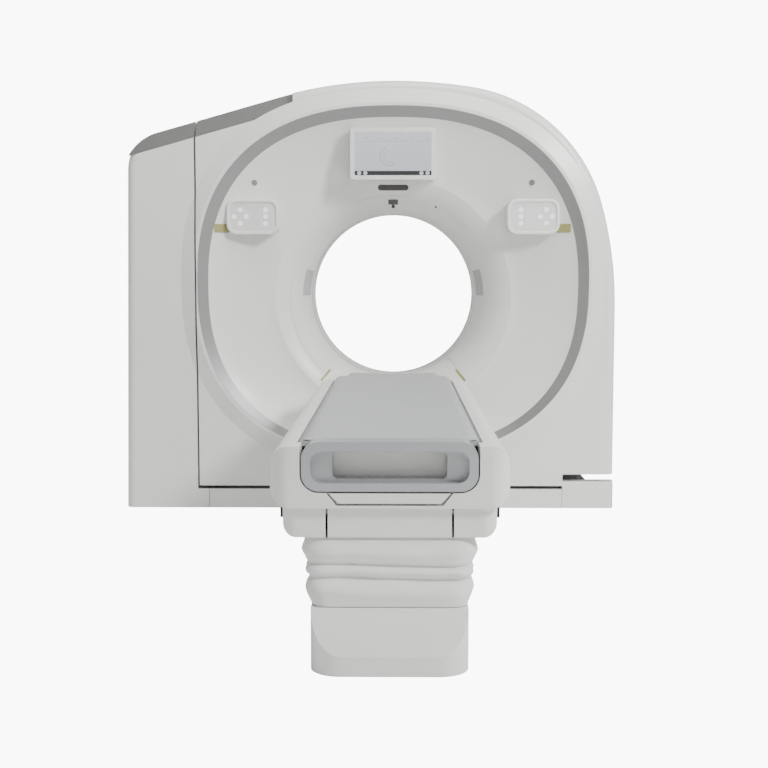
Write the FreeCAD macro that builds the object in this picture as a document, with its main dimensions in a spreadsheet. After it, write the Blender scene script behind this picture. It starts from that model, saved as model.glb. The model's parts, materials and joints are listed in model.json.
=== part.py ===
"""CT scanner: a tilting gantry on a fixed tower and base, and a patient table that lifts, shifts and feeds.

Millimetres. The origin is on the floor, straight under the centre of the bore. X points right as seen
from the table, Y from the table into the gantry, Z up. The scan plane and the tilt axis are at Y = 0.
"""
import FreeCAD, Part
import math
import os
import re

os.makedirs("parts", exist_ok=True)
doc = FreeCAD.newDocument("ct_scanner")
V = FreeCAD.Vector

# ---------------------------------------------------------------- driving dimensions
SIZES = {
    # bore and scan plane
    "iso_height": "930",
    "bore_radius": "375",
    "liner_wall": "4",
    "window_half": "12",
    "throat_front": "-83",
    "throat_back": "244",
    "flare_radius": "472",
    "crease_radius": "520",
    "crease_y": "-268",
    # gantry envelope
    "front_y": "-370",
    "back_y": "600",
    "side_x": "968",
    "split_x": "-854",
    "split_gap": "8",
    "top_height": "1855",
    "cover_wall": "6",
    "cover_depth": "45",
    "cover_bottom": "99",
    "cover_bottom_right": "150",
    "step_x": "744",
    "edge_round": "38",
    "rear_cut_y": "335",
    "rear_cut_height": "310",
    # arch outline, seen from the front
    "arch_left_radius": "1843",
    "arch_top_radius": "2193",
    "arch_corner_radius": "700",
    "arch_corner_x": "232",
    "arch_side_radius": "1620",
    "slope_height": "1645",
    "slope_x": "-1000",
    "slope_rise": "0.28",
    # tower
    "tower_x": "-1176",
    "tower_taper": "26",
    "tower_corner": "170",
    "tower_foot_x": "-809",
    "trim_drop": "66",
    "trim_depth": "55",
    "trim_wall": "8",
    # oval dish on the front
    "ring_height": "987",
    "ring_half_width": "846",
    "ring_half_height": "756",
    "ring_power": "2.4",
    "ring_band": "45",
    "ring_inner_height": "978",
    "ring_inner_half_height": "718",
    "hump_width": "74",
    "hump_rise": "24",
    "ring_slope": "20",
    "dish_wall": "5",
    # base
    "base_thick": "15",
    "base_back": "560",
    "anchor_radius": "9",
    "anchor_inset": "45",
    "plinth_height": "84",
    "plinth_depth": "20",
    "corner_height": "119",
    "corner_depth": "62",
    # pillars, bearings and tilt drive
    "pillar_left_x": "-1010",
    "pillar_right_x": "775",
    "pillar_wide": "80",
    "pillar_half": "60",
    "pillar_above": "110",
    "trunnion_radius": "32",
    "tilt_bearing_radius": "46",
    "fit": "0.05",
    "seat_gap": "0.3",
    "gearbox_wide": "100",
    "gearbox_half": "80",
    "tilt_motor_radius": "46",
    "tilt_motor_length": "210",
    # tilt frame and main bearing
    "frame_y": "180",
    "frame_thick": "30",
    "frame_radius": "738",
    "arm_x": "705",
    "arm_thick": "35",
    "arm_half": "90",
    "race_inner": "420",
    "race_split": "442",
    "race_outer": "466",
    "race_y": "130",
    # rotor
    "rotor_inner": "405",
    "rotor_radius": "692",
    "rotor_y": "100",
    "rotor_thick": "25",
    "slip_ring_inner": "600",
    "detector_radius": "560",
    "detector_thick": "90",
    "detector_half_angle": "27",
    "detector_half": "60",
    "tube_radius": "95",
    "tube_height": "575",
    "tube_front": "-120",
    # table height stack
    "table_far_y": "-480",
    "table_near_y": "-2566",
    "table_half_width": "320",
    "table_bottom": "415",
    "table_rail_top": "580",
    "channel_half": "250",
    "channel_floor": "456",
    "body_round": "55",
    "rail_reach": "15",
    "rail_thick": "20",
    # cradle
    "cradle_half": "240",
    "cradle_near_y": "-2482",
    "cradle_far_y": "-400",
    "cradle_tip_y": "-225",
    "cradle_tip_half": "198",
    "cradle_under": "548",
    "cradle_edge_under": "570",
    "cradle_top": "584",
    "cradle_sag": "14",
    "mat_thick": "9",
    "handle_bottom": "461",
    "handle_top": "592",
    "handle_half": "233",
    "handle_round": "46",
    "slot_half": "152",
    "slot_bottom": "489",
    "slot_top": "561",
    # lower box, bellows, pedestal
    "box_half": "286",
    "box_near_y": "-2552",
    "box_far_y": "-900",
    "box_bottom": "336",
    "box_top": "412",
    "box_split": "167",
    "box_gap": "6",
    "box_round": "38",
    "carriage_thick": "10",
    "cover_drop": "4",
    "bellows_half": "222",
    "bellows_near_y": "-2600",
    "bellows_top_near_y": "-2540",
    "bellows_low_half": "205",
    "bellows_far_y": "-1330",
    "bellows_wall": "4",
    "pedestal_half": "207",
    "pedestal_near_y": "-2681",
    "pedestal_far_y": "-1280",
    "pedestal_height": "160",
    "pedestal_skirt": "52",
    "pedestal_top_near_y": "-2610",
    "pedestal_wall": "6",
    "pedestal_round": "80",
    "pedestal_far_round": "34",
    "table_plate_thick": "12",
    "column_y": "-1960",
    "column_outer": "130",
    "column_wall": "10",
    "column_gap": "=seat_gap",
    "column_middle": "=column_outer - column_wall - column_gap",
    "column_inner": "=column_middle - column_wall - column_gap",
    "column_top": "300",
    "column_step": "45",
    "spindle_radius": "16",
    # front furniture
    "pad_x": "606",
    "pad_height": "1273",
    "pad_half_width": "113",
    "pad_half_height": "76",
    "pad_y": "-368",
    "pad_round": "44",
    "key_radius": "10",
    "key_pitch": "29",
    "monitor_height": "1540",
    "monitor_half_width": "183",
    "monitor_half_height": "110",
    "monitor_y": "-392",
    "monitor_rim": "18",
    "camera_height": "1405",
    "camera_half_width": "67",
    "camera_half_height": "12",
    "lens_x": "600",
    "lens_height": "1420",
    "lens_radius": "12",
    "panel_proud": "3",
    "crescent_half_angle": "48",
    "crescent_radius": "458",
    "bridge_half_angle": "22",
    "bridge_radius": "443",
}

sheet = doc.addObject("Spreadsheet::Sheet", "Sizes")
for row, (alias, text) in enumerate(SIZES.items(), start=1):
    sheet.set("A%d" % row, alias)
    sheet.set("B%d" % row, text)
    sheet.setAlias("B%d" % row, alias)
doc.recompute()


def val(text):
    """The number that an expression on the sheet's names gives."""
    names = {alias: float(sheet.get(alias)) for alias in re.findall(r"[a-z_]+", text) if alias in SIZES}
    total = 0.0
    for sign, term in re.findall(r"([+-]?)\s*([^+-]+)", text.replace(" ", "")):
        product = 1.0
        for operation, factor in re.findall(r"([*/]?)([^*/]+)", term):
            number = names[factor] if factor in names else float(factor)
            product = product / number if operation == "/" else product * number
        total += -product if sign == "-" else product
    return total


def cells(text):
    """The same expression with each name pointed at its cell, for setExpression."""
    return re.sub(r"[a-z_]+", lambda word: "Sizes." + word.group(0), text)


# ---------------------------------------------------------------- small building helpers
nodes = []


def node(obj, name):
    """Names a finished piece: its label is its file's name."""
    obj.Label = name
    nodes.append(obj)
    return obj


def box(name, x, y, z):
    """A box between two bounds on each axis, all bound to the sheet."""
    obj = doc.addObject("Part::Box", name)
    for side, place, (low, high) in zip(("Length", "Width", "Height"), "xyz", (x, y, z)):
        obj.setExpression(side, cells("(%s) - (%s)" % (high, low)))
        obj.setExpression(".Placement.Base." + place, cells(low))
    return obj


def cylinder(name, axis, centre, radius, low, high):
    """A cylinder along an axis; centre gives its place on the two other axes."""
    obj = doc.addObject("Part::Cylinder", name)
    turn = {
        "X": FreeCAD.Rotation(V(0, 1, 0), 90),
        "Y": FreeCAD.Rotation(V(1, 0, 0), -90),
        "Z": FreeCAD.Rotation(),
    }[axis]
    obj.Placement = FreeCAD.Placement(V(), turn)
    obj.setExpression("Radius", cells(radius))
    obj.setExpression("Height", cells("(%s) - (%s)" % (high, low)))
    others = [place for place in "xyz" if place != axis.lower()]
    obj.setExpression(".Placement.Base." + axis.lower(), cells(low))
    for place, text in zip(others, centre):
        obj.setExpression(".Placement.Base." + place, cells(text))
    return obj


def cut(name, base, *tools):
    """The base with every tool taken away."""
    for number, tool in enumerate(tools):
        obj = doc.addObject("Part::Cut", "%s_cut%d" % (name, number))
        obj.Base = base
        obj.Tool = tool
        base = obj
    return base


def fuse(name, *pieces):
    obj = doc.addObject("Part::MultiFuse", name + "_fused")
    obj.Shapes = list(pieces)
    obj.Refine = True
    return obj


def group(name, pieces):
    """Separate solids that share one node."""
    obj = doc.addObject("Part::Compound", name + "_group")
    obj.Links = list(pieces)
    return obj


def tube(name, axis, centre, outer, inner, low, high):
    wide = cylinder(name + "_wide", axis, centre, outer, low, high)
    narrow = cylinder(name + "_narrow", axis, centre, inner, low, high)
    return cut(name, wide, narrow)


def rounded(name, base, radius, chosen):
    """The base with a fillet on each edge that the test chooses."""
    doc.recompute()
    size = val(radius)
    obj = doc.addObject("Part::Fillet", name + "_rounded")
    obj.Base = base
    obj.Edges = [(i, size, size) for i, edge in enumerate(base.Shape.Edges, start=1) if chosen(edge)]
    return obj


def shaped(name, shape):
    """A piece whose form is worked out by Part's own functions from the sheet's values."""
    obj = doc.addObject("Part::Feature", name)
    obj.Shape = shape
    obj.Placement = FreeCAD.Placement()
    return obj


def along(edge, axis):
    """True for a straight edge along X, Y or Z."""
    if not isinstance(edge.Curve, Part.Line):
        return False
    return abs(getattr(edge.Curve.Direction, axis.lower())) > 0.999


# ---------------------------------------------------------------- outlines, seen from the front
def oval(half_width, half_height, centre_z, y, power):
    """A closed superellipse in a plane across Y."""
    count = 48
    points = []
    for step in range(count):
        turn = 2 * math.pi * step / count
        reach_x = math.copysign(abs(math.cos(turn)) ** (2 / power), math.cos(turn))
        reach_z = math.copysign(abs(math.sin(turn)) ** (2 / power), math.sin(turn))
        points.append(V(half_width * reach_x, y, centre_z + half_height * reach_z))
    curve = Part.BSplineCurve()
    curve.interpolate(Points=points, PeriodicFlag=True)
    return Part.Wire(curve.toShape())


def slope_at(x, inset):
    """Height of the sloped top line, moved inwards by inset."""
    rise = val("slope_rise")
    return val("slope_height") + rise * (x - val("slope_x")) - inset * math.sqrt(1 + rise * rise)


def arc(centre, radius, start, end):
    """An arc in the XZ plane from one angle to another, in degrees from +X towards +Z."""
    def point(angle):
        return V(centre[0] + radius * math.cos(math.radians(angle)), 0,
                 centre[1] + radius * math.sin(math.radians(angle)))
    middle = point((start + end) / 2)
    return Part.Arc(point(start), middle, point(end)).toShape(), point(start), point(end)


def arch_path(inset):
    """Edges of the arch from the sloped line on the left, over the top and down the right side."""
    slope_angle = 90 + math.degrees(math.atan(val("slope_rise")))
    top = val("top_height")
    corner_x = val("arch_corner_x")
    left = val("arch_left_radius")
    crown = val("arch_top_radius")
    corner = val("arch_corner_radius")
    side = val("arch_side_radius")
    crown_z = top - crown
    lean = math.asin(corner_x / (crown - corner))
    corner_z = crown_z + (crown - corner) * math.cos(lean)
    side_centre_x = val("side_x") - side
    swing = math.acos((corner_x - side_centre_x) / (side - corner))
    side_z = corner_z - (side - corner) * math.sin(swing)
    pieces = [
        arc((0, top - left), left - inset, slope_angle, 90),
        arc((0, crown_z), crown - inset, 90, 90 - math.degrees(lean)),
        arc((corner_x, corner_z), corner - inset, 90 - math.degrees(lean), math.degrees(swing)),
        arc((side_centre_x, side_z), side - inset, math.degrees(swing), 0),
    ]
    edges = [piece[0] for piece in pieces]
    return edges, pieces[0][1], pieces[-1][2]


def gantry_outline(inset, bottom_inset, y):
    """The tilting body's outline as a face at y."""
    edges, first, last = arch_path(inset)
    left_x = val("split_x + split_gap / 2") + inset
    low_left = val("cover_bottom") + bottom_inset
    low_right = val("cover_bottom_right") + bottom_inset
    step_x = val("step_x") + bottom_inset
    corners = [
        last,
        V(last.x, 0, low_right),
        V(step_x, 0, low_right),
        V(step_x, 0, low_left),
        V(left_x, 0, low_left),
        V(left_x, 0, slope_at(left_x, inset)),
        first,
    ]
    lines = [Part.makeLine(a, b) for a, b in zip(corners, corners[1:])]
    face = Part.Face(Part.Wire(Part.__sortEdges__(edges + lines)))
    face.translate(V(0, y, 0))
    return face


def tower_outline(inset, low, y):
    """The fixed tower's outline as a face at y."""
    rise = val("slope_rise")
    radius = val("tower_corner") - inset
    right_x = val("split_x - split_gap / 2") - inset
    foot_x = val("tower_x") + inset
    shoulder_x = foot_x + val("tower_taper")
    slope_angle = math.atan(rise)
    corner_x = shoulder_x + radius
    corner_z = slope_at(corner_x, inset) - radius / math.cos(slope_angle)
    bend, start, end = arc((corner_x, corner_z), radius, 180, 90 + math.degrees(slope_angle))
    corners = [
        end,
        V(right_x, 0, slope_at(right_x, inset)),
        V(right_x, 0, low),
        V(foot_x, 0, low),
        start,
    ]
    lines = [Part.makeLine(a, b) for a, b in zip(corners, corners[1:])]
    face = Part.Face(Part.Wire(Part.__sortEdges__([bend] + lines)))
    face.translate(V(0, y, 0))
    return face


def deep(face, depth):
    return face.extrude(V(0, depth, 0))


def trim_wedge(sink):
    """Everything above the sloped grey trim's face, with the face sunk by sink."""
    front = val("front_y")
    reach = 1600
    low = V(-reach, front - 50, slope_at(-reach, sink) - val("trim_drop") * (1 + 50 / val("trim_depth")))
    back = V(-reach, front + val("trim_depth"), slope_at(-reach, sink))
    lift = V(0, 0, 500)
    corners = [low, back, back + lift, low + lift, low]
    face = Part.Face(Part.makePolygon(corners))
    end_x = -430
    return face.extrude(V(end_x + reach, 0, val("slope_rise") * (end_x + reach)))


def hump(low_x, high_x):
    """The raised band round the dish, between two X limits, without its hole."""
    front = val("front_y")
    rise = val("hump_rise")
    wide = val("hump_width")
    power = val("ring_power")
    foot = oval(val("ring_half_width") + wide, val("ring_half_height") + wide, val("ring_height"),
                front + 0.01, power)
    crest = oval(val("ring_half_width") + 14, val("ring_half_height") + 14, val("ring_height"),
                 front - rise, power)
    swell = Part.makeLoft([foot, crest], True)
    limits = Part.makeBox(high_x - low_x, 300, 3000, V(low_x, front - 200, 0))
    return swell.common(limits)


def hump_column():
    """The space over and behind the hump, which the top trim stops short of."""
    wide = val("hump_width") + 3
    face = Part.Face(oval(val("ring_half_width") + wide, val("ring_half_height") + wide,
                          val("ring_height"), val("front_y") - 100, val("ring_power")))
    return deep(face, 250)


def ring_opening():
    """The hole for the ring and the dish, right through the covers."""
    face = Part.Face(oval(val("ring_half_width"), val("ring_half_height"), val("ring_height"),
                          val("front_y") - 80, val("ring_power")))
    return deep(face, 300)


def dish_air(grow, back_shift):
    """The open space in front of the dish: lofted from the oval rim to the round crease."""
    power = val("ring_power")
    rim_y = val("front_y") - val("hump_rise") + val("ring_slope")
    iso = val("iso_height")
    half_width = val("ring_half_width - ring_band")
    half_height = val("ring_inner_half_height")
    centre = val("ring_inner_height")
    crease = val("crease_radius")
    crease_y = val("crease_y")
    stages = [(1.0, 0.0), (0.8, 0.30), (0.45, 0.68), (0.16, 0.93), (0.0, 1.0)]
    wires = []
    for share, depth in stages:
        wires.append(oval(
            crease + (half_width - crease) * share + grow,
            crease + (half_height - crease) * share + grow,
            iso + (centre - iso) * share,
            rim_y + (crease_y - rim_y) * depth + (back_shift if 0 < share < 1 else 0),
            2 + (power - 2) * share,
        ))
    return Part.makeLoft(wires, True)


def furniture_space():
    """The dish's open space with a straight stretch in front, which fittings on the dish are cut to."""
    rim_y = val("front_y") - val("hump_rise") + val("ring_slope")
    face = Part.Face(oval(val("ring_half_width - ring_band"), val("ring_inner_half_height"),
                          val("ring_inner_height"), rim_y - 60, val("ring_power")))
    return dish_air(0, 0).fuse(deep(face, 60))


def plate_block(centre_x, centre_z, half_width, half_height, front, depth, corner):
    """A rounded plate that faces the front."""
    block = Part.makeBox(2 * half_width, depth, 2 * half_height,
                         V(centre_x - half_width, front, centre_z - half_height))
    upright = [edge for edge in block.Edges if along(edge, "Y")]
    return block.makeFillet(corner, upright)


def funnel_curve(proud):
    """Radius and Y of the round funnel from the crease to the throat, moved inwards by proud."""
    start = (val("crease_radius"), val("crease_y"))
    end = (val("bore_radius"), val("throat_front"))
    middle = (end[0] + 0.36 * (start[0] - end[0]), start[1] + 0.36 * (end[1] - start[1]))
    return [(radius - proud, y) for radius, y in (start, middle, end)]


def turned(profile_wire, angle, centre_angle):
    """A profile drawn in the +X half turned about the bore's axis, its middle at centre_angle."""
    iso = val("iso_height")
    face = Part.Face(profile_wire)
    face.rotate(V(0, 0, iso), V(0, 1, 0), -(centre_angle - angle / 2))
    return face.revolve(V(0, 0, iso), V(0, -1, 0), angle)


def funnel_profile(inner, outer, outer_radius_limit):
    """The closed profile between two funnel curves, up to a radius."""
    iso = val("iso_height")

    def curve(points):
        a, b, c = [V(radius, y, iso) for radius, y in points]
        return Part.Arc(a, b, c).toShape(), a, c

    near, near_start, near_end = curve(inner)
    far, far_start, far_end = curve(outer)
    edges = [near, Part.makeLine(near_end, far_end), far, Part.makeLine(far_start, near_start)]
    face = Part.Face(Part.Wire(Part.__sortEdges__(edges)))
    limit = Part.makeBox(outer_radius_limit, 2000, 2, V(0, -1000, iso - 1))
    return face.common(limit).Faces[0].OuterWire


# ---------------------------------------------------------------- base and tower
def anchored_plate(name, x, y, thick, columns, lines):
    """A floor plate with a hole for a floor anchor where each column and line cross."""
    plate = box(name + "_blank", x, y, ("0", thick))
    holes = [cylinder("%s_hole_%d%d" % (name, i, j), "Z", (column, line), "anchor_radius", "0", thick)
             for i, column in enumerate(columns) for j, line in enumerate(lines)]
    node(cut(name, plate, *holes), name)


def make_floor_plates():
    left = "tower_x + 20"
    right = "side_x - 20"
    front = "front_y + plinth_depth + seat_gap"
    anchored_plate("base_plate", (left, right), (front, "base_back"), "base_thick",
                   (left + " + anchor_inset", "0", right + " - anchor_inset"),
                   (front + " + anchor_inset", "base_back - anchor_inset"))
    left = "0 - pedestal_half + 35"
    right = "pedestal_half - 35"
    near = "pedestal_near_y + 40"
    far = "pedestal_far_y - 30"
    anchored_plate("table_floor_plate", (left, right), (near, far), "table_plate_thick",
                   (left + " + anchor_inset", right + " - anchor_inset"),
                   (near + " + anchor_inset", far + " - anchor_inset"))


def base_plate_space():
    """The base plate's own space and a narrow gap round it, which the covers are notched for."""
    gap = val("seat_gap")
    low_x = val("tower_x + 20") - gap
    high_x = val("side_x - 20") + gap
    low_y = val("front_y + plinth_depth")
    high_y = val("base_back") + gap
    return Part.makeBox(high_x - low_x, high_y - low_y, val("base_thick") + gap, V(low_x, low_y, 0))


def make_pillars():
    """Two pillars, each with a bored head and its tilt bearing."""
    posts = []
    bearings = []
    for side, low_x in (("left", "pillar_left_x"), ("right", "pillar_right_x")):
        x = (low_x, low_x + " + pillar_wide")
        post = box(side + "_post", x, ("0 - pillar_half", "pillar_half"),
                   ("base_thick", "iso_height + pillar_above"))
        bore = cylinder(side + "_pillar_bore", "X", ("0", "iso_height"), "tilt_bearing_radius", *x)
        posts.append(cut(side + "_pillar", post, bore))
        bearings.append(tube(side + "_tilt_bearing", "X", ("0", "iso_height"), "tilt_bearing_radius",
                             "trunnion_radius + fit", x[0] + " + 5", x[1] + " - 5"))
    node(group("pillars", posts), "pillars")
    node(group("tilt_bearings", bearings), "tilt_bearings")


def make_tilt_drive():
    high = "pillar_left_x"
    low = "pillar_left_x - gearbox_wide"
    gearbox = box("gearbox", (low, high), ("0 - gearbox_half", "gearbox_half"),
                  ("iso_height - gearbox_half", "iso_height + gearbox_half"))
    motor = cylinder("motor", "Z", (low + " + gearbox_wide / 2", "0"), "tilt_motor_radius",
                     "iso_height - gearbox_half - tilt_motor_length", "iso_height - gearbox_half")
    node(fuse("tilt_gearmotor", gearbox, motor), "tilt_gearmotor")
    unit = box("power_unit", (low + " + 10", "pillar_left_x + 60"), ("150", "480"), ("base_thick", "600"))
    node(unit, "power_unit")


def softened_tower(block, radius):
    """The tower's block with its two outer upright edges rounded."""
    upright = [edge for edge in block.Edges
               if edge.BoundBox.YLength < 1 and edge.BoundBox.XMax < val("split_x") - 200
               and edge.BoundBox.ZMin < 1 and edge.BoundBox.ZMax > 200]
    return block.makeFillet(radius, upright)


def make_tower():
    front = val("front_y")
    depth = val("back_y") - front
    wall = val("cover_wall")
    outer = softened_tower(deep(tower_outline(0, 0, front), depth), val("edge_round"))
    outer = outer.fuse(hump(val("tower_x") - 50, val("split_x - split_gap / 2")))
    foot = Part.makeBox(val("tower_foot_x - split_x + split_gap"), val("plinth_depth"),
                        val("plinth_height"), V(val("split_x - split_gap"), front, 0))
    inner = softened_tower(deep(tower_outline(wall, -10, front + wall), depth - 2 * wall),
                           val("edge_round") - wall)
    passage = Part.makeCylinder(val("trunnion_radius") + 35, 200,
                                V(val("split_x") - 100, 0, val("iso_height")), V(1, 0, 0))
    shell = outer.fuse(foot).cut(inner).cut(ring_opening()).cut(passage).cut(base_plate_space())
    sunk = trim_wedge(val("trim_wall"))
    node(shaped("tower_cover", shell.cut(sunk)), "tower_cover")
    blank = deep(tower_outline(0, 0, front), depth)
    limit = Part.makeBox(2000, val("trim_depth") + 22, 3000, V(-1500, front, 0))
    strip = blank.common(sunk).cut(trim_wedge(0)).common(limit)
    node(shaped("tower_top_trim", strip), "tower_top_trim")


def make_plinth():
    gap = "split_gap / 4"
    node(box("plinth_panel", ("tower_foot_x + " + gap, "step_x - " + gap),
             ("front_y", "front_y + plinth_depth"), ("0", "plinth_height")), "plinth_panel")
    block = box("corner_block", ("step_x", "side_x"), ("front_y", "front_y + corner_depth"),
                ("0", "corner_height"))
    cavity = box("corner_cavity", ("step_x + 5", "side_x - 5"),
                 ("front_y + 5", "front_y + corner_depth + 1"), ("0", "corner_height - 5"))
    smooth = rounded("corner_cover", block, "edge_round / 2",
                     lambda edge: along(edge, "Z") and edge.BoundBox.XMin > val("side_x") - 1
                     and edge.BoundBox.YMax < val("front_y") + 1)
    space = shaped("corner_notch", base_plate_space())
    node(cut("corner_cover", smooth, cavity, space), "corner_cover")


# ---------------------------------------------------------------- tilting gantry: covers
def side_cut():
    """Space under the rear of the tilting covers, cleared for the tilt."""
    back = val("back_y") + 50
    start = V(-2000, val("rear_cut_y"), val("cover_bottom"))
    rise = (val("rear_cut_height") - val("cover_bottom")) / (val("back_y") - val("rear_cut_y"))
    high = V(-2000, back, val("cover_bottom") + rise * (back - val("rear_cut_y")))
    low = V(-2000, back, -100)
    front_low = V(-2000, val("rear_cut_y"), -100)
    face = Part.Face(Part.makePolygon([start, high, low, front_low, start]))
    return face.extrude(V(4000, 0, 0))


def make_front_cover():
    front = val("front_y")
    depth = val("cover_depth")
    wall = val("cover_wall")
    blank = deep(gantry_outline(0, 0, front), depth)
    side_edges = [edge for edge in blank.Edges
                  if edge.BoundBox.YLength < 1 and edge.BoundBox.YMax < front + 1
                  and (not isinstance(edge.Curve, Part.Line) or edge.BoundBox.XMin > val("side_x") - 1)]
    blank = blank.makeFillet(val("edge_round"), side_edges)
    blank = blank.fuse(hump(val("split_x + split_gap / 2"), val("side_x")))
    hollow = deep(gantry_outline(val("edge_round") + wall, val("edge_round") + wall, front + wall), depth)
    rim_band = oval(val("ring_half_width") + 26, val("ring_half_height") + 26, val("ring_height"),
                    front + wall - 10, val("ring_power"))
    hollow = hollow.cut(deep(Part.Face(rim_band), depth + 20))
    sunk = trim_wedge(val("trim_wall")).cut(hump_column())
    node(shaped("front_cover", blank.cut(hollow).cut(ring_opening()).cut(sunk)), "front_cover")


def make_shell():
    start = val("front_y") + val("cover_depth")
    end = val("back_y") - val("cover_depth")
    wall = val("cover_wall")
    outer = deep(gantry_outline(0, 0, start), end - start)
    inner = deep(gantry_outline(wall, wall, start - 1), end - start + 2)
    passage = Part.makeCylinder(val("trunnion_radius") + 20, 200,
                                V(val("split_x") - 100, 0, val("iso_height")), V(1, 0, 0))
    slot = Part.makeBox(val("side_x - step_x") - 30, 2 * 345, 200,
                        V(val("step_x") - 5, -345, val("cover_bottom_right") - 100))
    shell = outer.cut(inner).cut(side_cut()).cut(passage).cut(slot).cut(trim_wedge(val("trim_wall")))
    node(shaped("gantry_shell", shell), "gantry_shell")
    blank = deep(gantry_outline(0, 0, val("front_y")), 400)
    limit = Part.makeBox(2000, val("trim_depth") + 22, 3000, V(-1500, val("front_y"), 0))
    strip = blank.common(trim_wedge(val("trim_wall"))).cut(trim_wedge(0)).common(limit)
    node(shaped("gantry_top_trim", strip.cut(hump_column())), "gantry_top_trim")


def make_rear_cover():
    wall = val("cover_wall")
    depth = val("cover_depth")
    start = val("back_y") - depth
    blank = deep(gantry_outline(0, 0, start), depth)
    back_edges = [edge for edge in blank.Edges
                  if edge.BoundBox.YLength < 1 and edge.BoundBox.YMin > val("back_y") - 1
                  and (not isinstance(edge.Curve, Part.Line) or edge.BoundBox.XMin > val("side_x") - 1)]
    blank = blank.makeFillet(val("edge_round"), back_edges)
    hollow = deep(gantry_outline(val("edge_round") + wall, val("edge_round") + wall, start - wall), depth)
    opening = Part.makeCylinder(val("flare_radius + liner_wall"), 400,
                                V(0, start - 100, val("iso_height")), V(0, 1, 0))
    node(shaped("rear_cover", blank.cut(hollow).cut(opening).cut(side_cut())), "rear_cover")


def make_ring_and_dish():
    front = val("front_y") - val("hump_rise")
    slope = val("ring_slope")
    power = val("ring_power")
    rim = oval(val("ring_half_width"), val("ring_half_height"), val("ring_height"), front, power)
    ring_face = Part.Face(rim)
    inner = oval(val("ring_half_width - ring_band"), val("ring_inner_half_height"),
                 val("ring_inner_height"), front + slope, power)
    lip = oval(val("ring_half_width") - 1, val("ring_half_height") - 1, val("ring_height"), front, power)
    bevel = Part.makeLoft([lip, inner], True)
    hole = deep(Part.Face(inner), 60)
    band = deep(ring_face, slope + 14).cut(bevel).cut(hole)
    node(shaped("silver_ring", band), "silver_ring")
    wall = val("dish_wall")
    dish = dish_air(wall, wall).cut(dish_air(0, 0))
    node(shaped("dish_cover", dish.cut(band)), "dish_cover")


def make_bore():
    iso = ("0", "iso_height")
    inner = funnel_curve(0)
    outer = [(radius + val("dish_wall"), y) for radius, y in inner]
    funnel = turned(funnel_profile(inner, outer, 1000), 360, 0)
    node(shaped("bore_funnel", funnel), "bore_funnel")
    liner = tube("bore_liner", "Y", iso, "bore_radius + liner_wall", "bore_radius",
                 "throat_front", "0 - window_half")
    node(liner, "bore_liner")
    node(tube("scan_window", "Y", iso, "bore_radius + liner_wall / 2", "bore_radius",
              "0 - window_half", "window_half"), "scan_window")
    straight = tube("rear_liner_straight", "Y", iso, "bore_radius + liner_wall", "bore_radius",
                    "window_half", "throat_back")
    wide = doc.addObject("Part::Cone", "rear_flare_wide")
    narrow = doc.addObject("Part::Cone", "rear_flare_narrow")
    for cone, extra in ((wide, "liner_wall"), (narrow, "liner_wall * 0")):
        cone.Placement = FreeCAD.Placement(V(), FreeCAD.Rotation(V(1, 0, 0), -90))
        cone.setExpression("Radius1", cells("bore_radius + " + extra))
        cone.setExpression("Radius2", cells("flare_radius + " + extra))
        cone.setExpression("Height", cells("back_y - throat_back"))
        cone.setExpression(".Placement.Base.y", cells("throat_back"))
        cone.setExpression(".Placement.Base.z", cells("iso_height"))
    flare = cut("rear_flare", wide, narrow)
    node(fuse("rear_liner", straight, flare), "rear_liner")


def make_funnel_panels():
    """Inlaid panels that stand a little proud of the funnel."""
    inner = funnel_curve(val("panel_proud"))
    outer = funnel_curve(0)
    half = val("crescent_half_angle")
    crescents = [turned(funnel_profile(inner, outer, val("crescent_radius")), 2 * half, middle)
                 for middle in (180, 0)]
    node(shaped("crescent_panels", Part.makeCompound(crescents)), "crescent_panels")
    profile = funnel_profile(inner, outer, val("bridge_radius"))
    node(shaped("bridge_panel", turned(profile, 2 * val("bridge_half_angle"), 90)), "bridge_panel")
    deeper = funnel_curve(val("panel_proud") * 2)
    window = funnel_profile(deeper, inner, val("bridge_radius"))
    marker = turned(window, 6, 90)
    band = Part.makeCylinder(425, 400, V(0, -400, val("iso_height")), V(0, 1, 0))
    core = Part.makeCylinder(405, 400, V(0, -400, val("iso_height")), V(0, 1, 0))
    node(shaped("laser_window", marker.common(band).cut(core)), "laser_window")


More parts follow.
